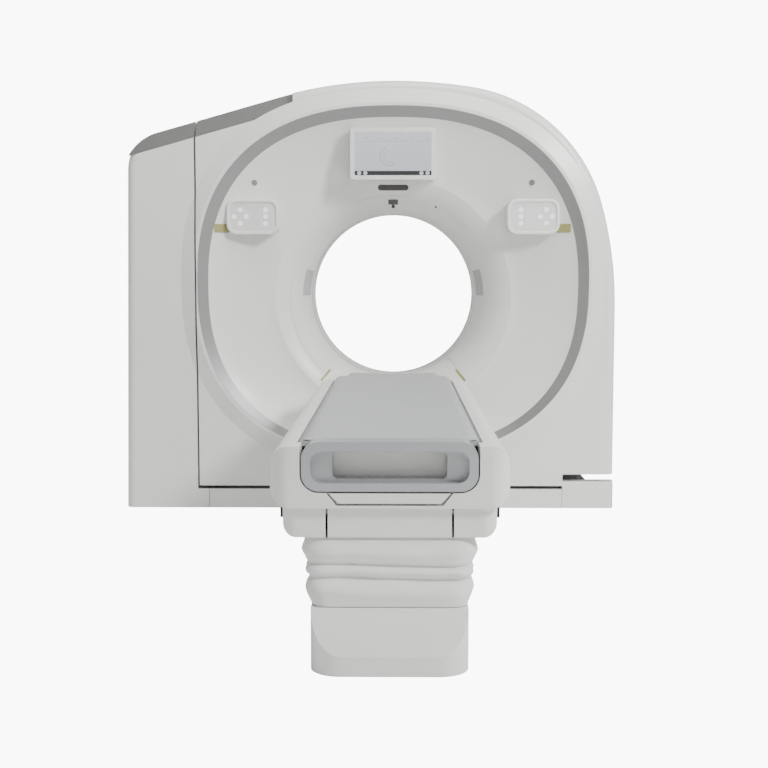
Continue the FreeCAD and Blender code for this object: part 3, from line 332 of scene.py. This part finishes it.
def coated_cloth(name, base):
    """Coated cloth: a fine plain weave under the coat and soft slanting creases, with painted shade in
    their hollows and painted highlight on their folds.
    """
    f = Finish(name)
    across = ((f.x + f.y) * 3600.0).sine()
    up = (f.z * 3600.0).sine()
    weave = across * up
    pull = f.noise(7.0, 4.0, 0.6, f.stretched((1.0, 1.0, 2.6)), 0.8)
    fine = f.noise(60.0, 3.0)
    # Painted shade and highlight: the colour follows the creases' height, darker in the hollows and lighter
    # on the folds.
    tone = f.blend(pull * 0.7 + fine * 0.3, tinted(base, 0.88), tinted(base, 1.08))
    tone = f.blend(0.1 + 0.08 * weave, tone, tinted(base, 0.86))
    height = pull * 1.0 + weave * 0.012 + fine * 0.05
    return f.apply(base=tone, rough=0.58 + 0.12 * fine, sheen=0.12, sheen_rough=0.5,
                   normal=f.bump(height, 0.009, 0.5))


def lit_screen(name):
    """A pale working display: a header line, faint nested arcs and a dark bar with round marks."""
    f = Finish(name)
    middle = (SCREEN_LOW + SCREEN_HIGH) / 2
    half_x = (SCREEN_HIGH.x - SCREEN_LOW.x) / 2
    half_z = (SCREEN_HIGH.z - SCREEN_LOW.z) / 2
    across = (f.x - middle.x) / half_x
    up = (f.z - middle.z) / half_z
    page = f.blend(f.soft_step(up, -1.0, 1.0), (0.80, 0.84, 0.90), (0.90, 0.93, 0.96))
    header = (up > 0.55) * (up < 0.585)
    ticks = ((across * 16.0).sine() > 0.82) * (up > 0.66) * (up < 0.74)
    page = f.blend(header * 0.35, page, (0.45, 0.5, 0.56))
    page = f.blend(ticks * 0.3, page, (0.4, 0.45, 0.5))
    wide = across + 0.1
    tall = (up + 0.14) * (half_z / half_x)
    reach = (wide * wide + tall * tall).root()
    rings = ((reach * 60.0).sine() > 0.35) * (reach < 0.25) * (reach > 0.13)
    open_side = (wide + tall * 0.6) < 0.06
    page = f.blend(rings * open_side * 0.45, page, (0.42, 0.47, 0.55))
    bar = up < -0.8
    page = f.blend(bar, page, (0.03, 0.032, 0.036))
    low = (up + 0.9) * (half_z / half_x)
    for centre in (-0.88, -0.72, 0.74, 0.9):
        side = across - centre
        mark = (side * side + low * low).root() < 0.052
        page = f.blend(mark, page, (0.86, 0.88, 0.92))
    return f.apply(base=(0.02, 0.02, 0.02), glow=page, glow_strength=1.0, rough=0.16 + 0.05 * f.noise(20.0),
                   coat=0.3, coat_rough=0.05)


def lit_key(name):
    """Backlit membrane spots."""
    f = Finish(name)
    tone = f.blend(f.noise(300.0), (0.93, 0.95, 0.97), (1.0, 1.0, 1.0))
    return f.apply(base=(0.9, 0.9, 0.9), glow=tone, glow_strength=0.55, rough=0.3 + 0.1 * f.noise(200.0))


def pierced_grille(name, base):
    """A speaker grille: rows of small holes in a grey moulding, with painted shade making each hole near
    black.
    """
    f = Finish(name)
    pitch = 2 * math.pi / 0.0062
    holes = (f.x * pitch).sine() * (f.z * pitch).sine()
    hole_and_shade = f.soft_step(holes, 0.25, 0.5)
    moulding = f.blend(f.noise(40.0), tinted(base, 0.94), tinted(base, 1.06))
    # Painted shade: each hole is coloured near black for the shade inside it.
    tone = f.blend(hole_and_shade * 0.75, moulding, (0.12, 0.12, 0.12))
    return f.apply(base=tone, rough=0.5 + 0.2 * hole_and_shade, normal=f.bump(1 - hole_and_shade, 0.0006, 0.8))


def all_finishes(colours):
    """Every material slot of the record and the small fittings' own finishes."""
    drift = colours.unevenness
    return {
        "cover_white": moulded_cover("cover_white", tuple(colours.cover), drift),
        "dish_white": moulded_cover("dish_white", tuple(colours.dish), drift, 0.38),
        "panel_white": moulded_cover("panel_white", tinted(tuple(colours.dish), 0.97), drift, 0.4),
        "bezel_white": glossy_panel("bezel_white", (0.80, 0.80, 0.785), 0.24),
        "pad_white": glossy_panel("pad_white", (0.78, 0.78, 0.765), 0.26),
        "trim_grey": satin_paint("trim_grey", tuple(colours.trim), 0.38),
        "silver_paint": metallic_paint("silver_paint", tuple(colours.ring), 0.34),
        "handle_silver": metallic_paint("handle_silver", tuple(colours.handle), 0.32),
        "screen_glass": lit_screen("screen_glass"),
        "dark_window": glossy_panel("dark_window", (0.055, 0.052, 0.045), 0.14),
        "lens_grey": glossy_panel("lens_grey", (0.2, 0.2, 0.19), 0.12),
        "key_light": lit_key("key_light"),
        "clear_window": glossy_panel("clear_window", (0.62, 0.63, 0.61), 0.16),
        "mat_vinyl": coated_vinyl("mat_vinyl", tuple(colours.mat)),
        "cradle_shell": satin_paint("cradle_shell", (0.42, 0.43, 0.43), 0.34),
        "bellows_cloth": coated_cloth("bellows_cloth", tuple(colours.cloth)),
        "frame_paint": satin_paint("frame_paint", (0.30, 0.32, 0.33)),
        "dark_steel": satin_paint("dark_steel", (0.03, 0.03, 0.032), 0.5),
        "bearing_steel": turned_metal("bearing_steel", (0.42, 0.42, 0.42)),
        "machine_grey": satin_paint("machine_grey", (0.22, 0.23, 0.24)),
        "cast_drum": turned_metal("cast_drum", (0.4, 0.41, 0.42), 0.4),
        "cooler_alloy": turned_metal("cooler_alloy", (0.5, 0.51, 0.52), 0.34),
        "slip_ring_brass": turned_metal("slip_ring_brass", (0.6, 0.42, 0.17), 0.25),
        "dark_rubber": moulded_rubber("dark_rubber", (0.022, 0.022, 0.023)),
        "grille": pierced_grille("speaker_grille", (0.55, 0.56, 0.55)),
        "tab": glossy_panel("colour_tab", tuple(colours.tab), 0.35),
    }


def finish_of(name):
    found = bpy.data.materials.get({"grille": "speaker_grille", "tab": "colour_tab"}.get(name, name))
    if found is None:
        raise RuntimeError("the finishes come before the pieces: %s isn't made yet" % name)
    return found


# ---------------------------------------------------------------- shared modelling helpers
def settle(bm, name, body, finish, smooth=True):
    """Turns a bmesh into a finished piece that rides on a body."""
    bmesh.ops.remove_doubles(bm, verts=bm.verts, dist=1e-6)
    bmesh.ops.recalc_face_normals(bm, faces=bm.faces)
    if not bm.faces:
        raise RuntimeError("%s has no faces" % name)
    mesh = bpy.data.meshes.new(name)
    bm.to_mesh(mesh)
    bm.free()
    piece = bpy.data.objects.new(name, mesh)
    bpy.context.scene.collection.objects.link(piece)
    mesh.materials.append(finish_of(finish))
    for polygon in mesh.polygons:
        polygon.use_smooth = smooth
    if body:
        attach(piece, body)
    return piece


def surface_of(node_name):
    """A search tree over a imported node, for laying fittings on it."""
    bm = bmesh.new()
    bm.from_mesh(frame["nodes"][node_name].data)
    tree = BVHTree.FromBMesh(bm)
    bm.free()
    return tree


def lay_on(bm, surfaces, proud, thick):
    """Moves a flat plate, drawn at Y = 0 and thick, along Y onto the nearest of some surfaces."""
    for vert in bm.verts:
        start = Vector((vert.co.x, -0.6, vert.co.z))
        hits = [tree.ray_cast(start, Vector((0, 1, 0))) for tree in surfaces]
        depths = [hit[0].y for hit in hits if hit[0] is not None]
        if not depths:
            raise RuntimeError("a fitting has nothing behind it at %s" % tuple(vert.co))
        outer = vert.co.y < 0
        vert.co.y = min(depths) - (proud if outer else -thick)


def rounded_plate(half_width, half_height, corner, segments=6):
    """A flat rounded rectangle round the origin in the XZ plane."""
    bm = bmesh.new()
    bmesh.ops.create_grid(bm, x_segments=1, y_segments=1, size=1.0)
    bmesh.ops.scale(bm, vec=(half_width, half_height, 1.0), verts=bm.verts)
    bmesh.ops.bevel(bm, geom=bm.verts[:], offset=corner, segments=segments, profile=0.5,
                    affect="VERTICES", material=-1)
    bmesh.ops.rotate(bm, cent=(0, 0, 0), matrix=Matrix.Rotation(math.radians(90), 3, "X"), verts=bm.verts)
    return bm


def thickened(bm, front, back):
    """Gives a flat plate in the XZ plane a front and a back."""
    bmesh.ops.translate(bm, vec=(0, back, 0), verts=bm.verts)
    made = bmesh.ops.extrude_face_region(bm, geom=bm.faces[:])
    moved = [item for item in made["geom"] if isinstance(item, bmesh.types.BMVert)]
    bmesh.ops.translate(bm, vec=(0, front - back, 0), verts=moved)
    return bm


def funnel_y(radius):
    """How far back the funnel is at a radius, on the arc through its rim, its belly and its throat."""
    rim_radius = FUNNEL_HIGH.x - 0.005
    throat = 0.375
    belly = (throat + 0.36 * (rim_radius - throat), FUNNEL_LOW.y + 0.36 * (FUNNEL_HIGH.y - FUNNEL_LOW.y))
    (ax, ay), (bx, by), (cx, cy) = (rim_radius, FUNNEL_LOW.y), belly, (throat, FUNNEL_HIGH.y)
    d = 2 * (ax * (by - cy) + bx * (cy - ay) + cx * (ay - by))
    sa, sb, sc = ax * ax + ay * ay, bx * bx + by * by, cx * cx + cy * cy
    centre_x = (sa * (by - cy) + sb * (cy - ay) + sc * (ay - by)) / d
    centre_y = (sa * (cx - bx) + sb * (ax - cx) + sc * (bx - ax)) / d
    reach = math.hypot(ax - centre_x, ay - centre_y)
    across = reach * reach - (radius - centre_x) ** 2
    away = math.sqrt(max(across, 0.0))
    return centre_y + (away if centre_y < ay else -away)


def funnel_patch(inner, outer, middle, sweep, proud, thick, steps):
    """A curved plate on the funnel between two radii, turned about the bore's axis."""
    bm = bmesh.new()
    count = 5
    radii = [inner + (outer - inner) * step / count for step in range(count + 1)]
    front = [bm.verts.new((radius - proud, funnel_y(radius), AXIS_HEIGHT)) for radius in radii]
    back = [bm.verts.new((radius - proud + thick, funnel_y(radius), AXIS_HEIGHT))
            for radius in reversed(radii)]
    loop = front + back
    edges = [bm.edges.new((a, b)) for a, b in zip(loop, loop[1:] + loop[:1])]
    start = math.radians(-(middle - sweep / 2))
    bmesh.ops.rotate(bm, cent=(0, 0, AXIS_HEIGHT), matrix=Matrix.Rotation(start, 3, "Y"), verts=bm.verts)
    made = bmesh.ops.spin(bm, geom=bm.verts[:] + edges, cent=(0, 0, AXIS_HEIGHT), axis=(0, 1, 0),
                          angle=math.radians(-sweep), steps=steps, use_merge=False)
    last = [item for item in made["geom_last"] if isinstance(item, bmesh.types.BMEdge)]
    bmesh.ops.edgeloop_fill(bm, edges=edges)
    bmesh.ops.edgeloop_fill(bm, edges=last)
    return bm


def joined(parts):
    """Several bmeshes as one."""
    whole = bmesh.new()
    for part in parts:
        mesh = bpy.data.meshes.new("part")
        part.to_mesh(mesh)
        part.free()
        whole.from_mesh(mesh)
        bpy.data.meshes.remove(mesh)
    return whole


# ---------------------------------------------------------------- operators
class SCANNER_OT_finishes(bpy.types.Operator):
    """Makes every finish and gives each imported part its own"""
    bl_idname = "scanner.finishes"
    bl_label = "Finishes"

    def execute(self, context):
        made = all_finishes(context.scene.scanner_colours)
        slots = {part["node"]: part["material_slot"] for part in frame["record"]["subparts"]}
        for name, part in frame["nodes"].items():
            part.data.materials.clear()
            part.data.materials.append(made[slots[name]])
        return {"FINISHED"}


class SCANNER_OT_mat(bpy.types.Operator):
    """The coated mat on the cradle, filled a little so that its edges are soft"""
    bl_idname = "scanner.mat"
    bl_label = "Cradle mat"

    def execute(self, context):
        sizes = context.scene.scanner_sizes
        bm = bmesh.new()
        bm.from_mesh(frame["nodes"]["mat"].data)
        bmesh.ops.remove_doubles(bm, verts=bm.verts, dist=1e-5)
        mat = settle(bm, "mat_pad", None, "mat_vinyl")
        remesh = mat.modifiers.new("remesh", "REMESH")
        remesh.mode = "VOXEL"
        remesh.voxel_size = sizes.mat_voxel
        self.bake(context, mat)
        rest = [vert.co.copy() for vert in mat.data.vertices]
        normals = [vert.normal.copy() for vert in mat.data.vertices]
        cloth = mat.modifiers.new("fill", "CLOTH")
        cloth.settings.use_pressure = True
        cloth.settings.uniform_pressure_force = MAT_PRESSURE
        cloth.settings.quality = 4
        cloth.settings.mass = 0.4
        cloth.settings.effector_weights.gravity = 0.0
        cloth.point_cache.frame_start = 1
        cloth.point_cache.frame_end = MAT_FRAMES
        for number in range(1, MAT_FRAMES + 1):
            context.scene.frame_set(number)
        self.bake(context, mat)
        context.scene.frame_set(1)
        limit = sizes.mat_swell
        for vert, start, normal in zip(mat.data.vertices, rest, normals):
            shift = vert.co - start
            if shift.length > limit:
                shift = shift * (limit / shift.length)
            if normal.z < -0.3:
                shift = shift * 0.0
            wrinkle = 0.0
            if normal.z > 0.5:
                field = noise.noise(Vector((start.x * 2.2, start.y * 9.0, 0.3)))
                wrinkle = -0.0012 * max(0.0, 1 - abs(field) / 0.12)
            vert.co = start + shift + Vector((0, 0, wrinkle))
        for polygon in mat.data.polygons:
            polygon.use_smooth = True
        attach(mat, "cradle")
        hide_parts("mat")
        return {"FINISHED"}

    def bake(self, context, piece):
        """Applies the piece's modifiers to its mesh."""
        graph = context.evaluated_depsgraph_get()
        mesh = bpy.data.meshes.new_from_object(piece.evaluated_get(graph))
        old = piece.data
        piece.modifiers.clear()
        piece.data = mesh
        bpy.data.meshes.remove(old)


class SCANNER_OT_bellows(bpy.types.Operator):
    """The coated cloth sleeve between the table's lower covers and its pedestal"""
    bl_idname = "scanner.bellows"
    bl_label = "Bellows"

    def execute(self, context):
        sizes = context.scene.scanner_sizes
        low, high = BELLOWS_LOW, BELLOWS_HIGH
        centre = (low + high) / 2
        half_x = high.x - centre.x
        half_y = high.y - centre.y
        bm = bmesh.new()
        bmesh.ops.create_grid(bm, x_segments=1, y_segments=1, size=1.0)
        bmesh.ops.scale(bm, vec=(half_x, half_y, 1.0), verts=bm.verts)
        bmesh.ops.bevel(bm, geom=bm.verts[:], offset=0.045, segments=6, profile=0.5, affect="VERTICES",
                        material=-1)
        bmesh.ops.translate(bm, vec=(centre.x, centre.y, low.z + 0.001), verts=bm.verts)
        bmesh.ops.delete(bm, geom=bm.faces[:], context="FACES_ONLY")
        long_edges = [edge for edge in bm.edges if edge.calc_length() > 0.2]
        for edge in long_edges:
            cuts = int(edge.calc_length() / 0.014)
            bmesh.ops.subdivide_edges(bm, edges=[edge], cuts=cuts)
        tall = high.z - low.z - 0.002
        loop = bm.edges[:]
        for _ in range(BELLOWS_RINGS):
            made = bmesh.ops.extrude_edge_only(bm, edges=loop)
            verts = [item for item in made["geom"] if isinstance(item, bmesh.types.BMVert)]
            bmesh.ops.translate(bm, vec=(0, 0, tall / BELLOWS_RINGS), verts=verts)
            loop = [item for item in made["geom"] if isinstance(item, bmesh.types.BMEdge)
                    and abs(item.verts[0].co.z - item.verts[1].co.z) < 1e-6]
        for vert in bm.verts:
            self.fold(vert, low.z, tall, centre, half_x, half_y, sizes)
        bellows = settle(bm, "bellows_sleeve", None, "bellows_cloth")
        smooth = bellows.modifiers.new("smooth", "SUBSURF")
        smooth.levels = smooth.render_levels = 1
        thick = bellows.modifiers.new("cloth", "SOLIDIFY")
        thick.thickness = sizes.bellows_cloth
        thick.offset = -1.0
        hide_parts("bellows")
        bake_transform(bellows)
        return {"FINISHED"}

    def fold(self, vert, low_z, tall, centre, half_x, half_y, sizes):
        """Moves a point of the sleeve in or out for the folds, the creases and the pulled corners."""
        height = (vert.co.z - low_z) / tall
        side_x = (vert.co.x - centre.x) / half_x
        side_y = (vert.co.y - centre.y) / half_y
        drift = 0.035 * noise.noise(Vector((vert.co.x * 4.0, vert.co.y * 4.0, 0.7)))
        level = height + drift * math.sin(math.pi * height)
        bulges = ((0.2, 0.16, 0.95), (0.5, 0.07, 0.5), (0.8, 0.17, 1.15))
        creases = ((0.39, 0.028, 1.0), (0.58, 0.024, 1.2))
        out = 0.0
        for place, spread, amount in bulges:
            out += sizes.bellows_bulge * amount * math.exp(-((level - place) / spread) ** 2)
        for place, spread, amount in creases:
            out -= sizes.bellows_crease * amount * math.exp(-((level - place) / spread) ** 2)
        corner = max(0.0, abs(side_x) + abs(side_y) - 1.55) / 0.45
        pull = noise.noise(Vector((vert.co.x * 16.0 + vert.co.z * 22.0, vert.co.y * 16.0,
                                   vert.co.z * 34.0)))
        slant = noise.noise(Vector((vert.co.x * 7.0 - abs(vert.co.x) * vert.co.z * 60.0, vert.co.y * 5.0,
                                    vert.co.z * 30.0)))
        held = math.sin(math.pi * min(1.0, max(0.0, height))) ** 0.5
        out += held * (0.0065 * pull * (0.3 + corner) + 0.005 * slant)
        out *= 0.35 + 0.65 * held
        direction = Vector((math.copysign(max(0.0, abs(side_x) - 0.8) / 0.2, side_x),
                            math.copysign(max(0.0, abs(side_y) - 0.96) / 0.04, side_y), 0.0))
        slim = BELLOWS_FOOT_HALF / half_x
        vert.co.x = centre.x + (vert.co.x - centre.x) * (slim + (1.0 - slim) * height)
        if side_y < 0:
            vert.co.y += BELLOWS_LEAN * height * min(1.0, -side_y)
        if direction.length > 1e-6:
            vert.co += direction.normalized() * out


class SCANNER_OT_pads(bpy.types.Operator):
    """The raised rims and the outlined key fields of the two control pads"""
    bl_idname = "scanner.pads"
    bl_label = "Control pad rims"

    def execute(self, context):
        sizes = context.scene.scanner_sizes
        half_height = (PAD_HIGH.z - PAD_LOW.z) / 2
        centre_x = PAD_HIGH.x - 0.113
        centre_z = (PAD_LOW.z + PAD_HIGH.z) / 2
        front = PAD_LOW.y
        parts = []
        for side in (-1, 1):
            rim = self.loop(0.1125, half_height - 0.0005, 0.0435, sizes.rim_width, sizes.rim_height)
            bmesh.ops.translate(rim, vec=(side * centre_x, front, centre_z), verts=rim.verts)
            field = self.loop(0.024, 0.047, 0.012, 0.0025, 0.0012)
            bmesh.ops.translate(field, vec=(side * (centre_x - 0.055), front, centre_z), verts=field.verts)
            parts += [rim, field]
        settle(joined(parts), "control_pad_rims", "gantry", "pad_white")
        return {"FINISHED"}

    def loop(self, half_width, half_height, corner, width, height):
        """A rounded, raised band round a pad, its back on the pad's face at Y = 0."""
        bm = rounded_plate(half_width, half_height, corner, 8)
        made = bmesh.ops.inset_region(bm, faces=bm.faces[:], thickness=width, use_even_offset=True,
                                       use_boundary=True)
        middle = [face for face in bm.faces if face not in made["faces"]]
        bmesh.ops.delete(bm, geom=middle, context="FACES")
        thickened(bm, -height, 0.0003)
        bmesh.ops.recalc_face_normals(bm, faces=bm.faces)
        ridges = [edge for edge in bm.edges
                  if all(vert.co.y < -height / 2 for vert in edge.verts) and len(edge.link_faces) == 2
                  and edge.calc_face_angle(0.0) > 1.0]
        bmesh.ops.bevel(bm, geom=ridges, offset=min(height, width / 2) * 0.45, segments=3, profile=0.5,
                        affect="EDGES", material=-1)
        return bm


class SCANNER_OT_grilles(bpy.types.Operator):
    """A speaker grille on each crescent panel"""
    bl_idname = "scanner.grilles"
    bl_label = "Speaker grilles"

    def execute(self, context):
        proud = 0.0042
        parts = [funnel_patch(0.379, 0.408, middle, 17.0, proud, 0.0035, 18) for middle in (171.5, 8.5)]
        settle(joined(parts), "speaker_grilles", "gantry", "grille", smooth=False)
        return {"FINISHED"}


class SCANNER_OT_tabs(bpy.types.Operator):
    """Plain colour tabs beside the control pads and narrow strips low on the funnel"""
    bl_idname = "scanner.tabs"
    bl_label = "Colour tabs"

    def execute(self, context):
        sizes = context.scene.scanner_sizes
        surfaces = [surface_of("dish_cover"), surface_of("silver_ring"), surface_of("front_cover")]
        parts = []
        for x in (-0.742, 0.736):
            plate = rounded_plate(sizes.tab_half_width, sizes.tab_half_height, 0.003, 3)
            thickened(plate, -0.001, 0.001)
            bmesh.ops.translate(plate, vec=(x, 0, 1.2235), verts=plate.verts)
            lay_on(plate, surfaces, sizes.tab_thick, 0.001)
            parts.append(plate)
        for middle in (229.6, 310.4):
            parts.append(funnel_patch(0.436, 0.496, middle, 1.3, 0.0015, 0.004, 3))
        settle(joined(parts), "colour_tabs", "gantry", "tab", smooth=False)
        return {"FINISHED"}


class SCANNER_OT_sensors(bpy.types.Operator):
    """Small dark sensors beside and under the window above the bore"""
    bl_idname = "scanner.sensors"
    bl_label = "Sensors"

    def execute(self, context):
        sizes = context.scene.scanner_sizes
        surfaces = [surface_of("bridge_panel"), surface_of("bore_funnel")]
        parts = []
        for x, z, radius in ((0.0, 1.3275, sizes.dot_radius * 1.3), (0.189, 1.322, sizes.dot_radius * 0.7)):
            disc = rounded_plate(radius, radius, radius * 0.6, 4)
            thickened(disc, -0.001, 0.001)
            bmesh.ops.translate(disc, vec=(x, 0, z), verts=disc.verts)
            lay_on(disc, surfaces, 0.0015, 0.001)
            parts.append(disc)
        settle(joined(parts), "bore_sensors", "gantry", "dark_window", smooth=False)
        return {"FINISHED"}


class SCANNER_OT_studio(bpy.types.Operator):
    """A pale floor, soft light and the camera"""
    bl_idname = "scanner.studio"
    bl_label = "Studio"

    def execute(self, context):
        self.floor()
        world = bpy.data.worlds.new("studio")
        world.use_nodes = True
        background = next(n for n in world.node_tree.nodes if n.type == "BACKGROUND")
        background.inputs["Color"].default_value = (1.0, 1.0, 1.0, 1.0)
        background.inputs["Strength"].default_value = 0.42
        context.scene.world = world
        self.light("key", (4.2, -4.6, 4.4), (0.0, -0.4, 0.9), 1.4, 420.0)
        self.light("overhead", (0.6, -1.9, 5.2), (0.0, -1.2, 0.6), 3.0, 150.0)
        self.light("fill", (-4.6, -4.0, 2.2), (0.0, -0.5, 0.8), 3.0, 26.0)
        camera = bpy.data.cameras.new("camera")
        camera.sensor_width = SENSOR_WIDTH
        camera.lens = FOCAL_SHARE * SENSOR_WIDTH
        camera.clip_end = 60.0
        seat = bpy.data.objects.new("camera", camera)
        context.scene.collection.objects.link(seat)
        seat.location = CAMERA_PLACE
        seat.rotation_euler = (math.radians(90.0 - CAMERA_DIP), 0.0, math.radians(CAMERA_TURN))
        context.scene.camera = seat
        return {"FINISHED"}

    def floor(self):
        """A wide floor that curves up into a backdrop behind."""
        bm = bmesh.new()
        profile = [bm.verts.new((0.0, y, 0.0)) for y in (-14.0, 5.0)]
        edge = bm.edges.new(profile)
        made = bmesh.ops.spin(bm, geom=[profile[1]], cent=(0, 5.0, 3.0), axis=(1, 0, 0),
                              angle=math.radians(90), steps=16, use_merge=False)
        top = next(item for item in made["geom_last"] if isinstance(item, bmesh.types.BMVert))
        wall = bmesh.ops.extrude_vert_indiv(bm, verts=[top])["verts"]
        bmesh.ops.translate(bm, vec=(0, 0, 7.0), verts=wall)
        bmesh.ops.translate(bm, vec=(-16.0, 0, 0), verts=bm.verts)
        swept = bmesh.ops.extrude_edge_only(bm, edges=bm.edges[:])
        across = [item for item in swept["geom"] if isinstance(item, bmesh.types.BMVert)]
        bmesh.ops.translate(bm, vec=(32.0, 0, 0), verts=across)
        f = Finish("studio_floor")
        tone = f.blend(f.noise(0.6, 2.0), (0.9, 0.9, 0.9), (0.93, 0.93, 0.93))
        f.apply(base=tone, rough=0.75 + 0.1 * f.noise(4.0))
        glow = f.add("ShaderNodeEmission", inputs={"Color": (1.0, 1.0, 1.0, 1.0), "Strength": 12.0})
        seen = f.add("ShaderNodeLightPath", output="Is Camera Ray")
        lit = Signal(f, f.shader.outputs[0])
        mixed = f.add("ShaderNodeMixShader", inputs={0: seen * 0.8, 1: lit, 2: glow})
        surface = next(n for n in f.tree.nodes if n.type == "OUTPUT_MATERIAL")
        f.tree.links.new(mixed.socket, surface.inputs["Surface"])
        mesh = bpy.data.meshes.new("studio_floor")
        bm.to_mesh(mesh)
        bm.free()
        for polygon in mesh.polygons:
            polygon.use_smooth = True
        mesh.materials.append(f.material)
        floor = bpy.data.objects.new("studio_floor", mesh)
        bpy.context.scene.collection.objects.link(floor)

    def light(self, name, place, aim, size, power):
        lamp = bpy.data.lights.new(name, "AREA")
        lamp.shape = "DISK"
        lamp.size = size
        lamp.energy = power
        seat = bpy.data.objects.new(name, lamp)
        seat.location = place
        seat.rotation_euler = (Vector(aim) - Vector(place)).to_track_quat("-Z", "Y").to_euler()
        bpy.context.scene.collection.objects.link(seat)


class SCANNER_PT_sidebar(bpy.types.Panel):
    """Lists the scanner's sizes, colours and steps"""
    bl_label = "Scanner"
    bl_idname = "SCANNER_PT_sidebar"
    bl_space_type = "VIEW_3D"
    bl_region_type = "UI"
    bl_category = "Scanner"

    def draw(self, context):
        layout = self.layout
        for group in (context.scene.scanner_sizes, context.scene.scanner_colours):
            for name in group.__annotations__:
                layout.prop(group, name)
        for step in STEPS:
            layout.operator(step.bl_idname)


STEPS = (SCANNER_OT_studio, SCANNER_OT_finishes, SCANNER_OT_mat, SCANNER_OT_bellows, SCANNER_OT_pads,
         SCANNER_OT_grilles, SCANNER_OT_tabs, SCANNER_OT_sensors)
CLASSES = (ScannerSizes, ScannerColours) + STEPS + (SCANNER_PT_sidebar,)


def register():
    for item in CLASSES:
        bpy.utils.register_class(item)
    bpy.types.Scene.scanner_sizes = bpy.props.PointerProperty(type=ScannerSizes)
    bpy.types.Scene.scanner_colours = bpy.props.PointerProperty(type=ScannerColours)


def unregister():
    del bpy.types.Scene.scanner_colours
    del bpy.types.Scene.scanner_sizes
    for item in reversed(CLASSES):
        bpy.utils.unregister_class(item)


def main():
    register()
    for step in STEPS:
        group, action = step.bl_idname.split(".")
        getattr(getattr(bpy.ops, group), action)()


if __name__ == "__main__":
    main()
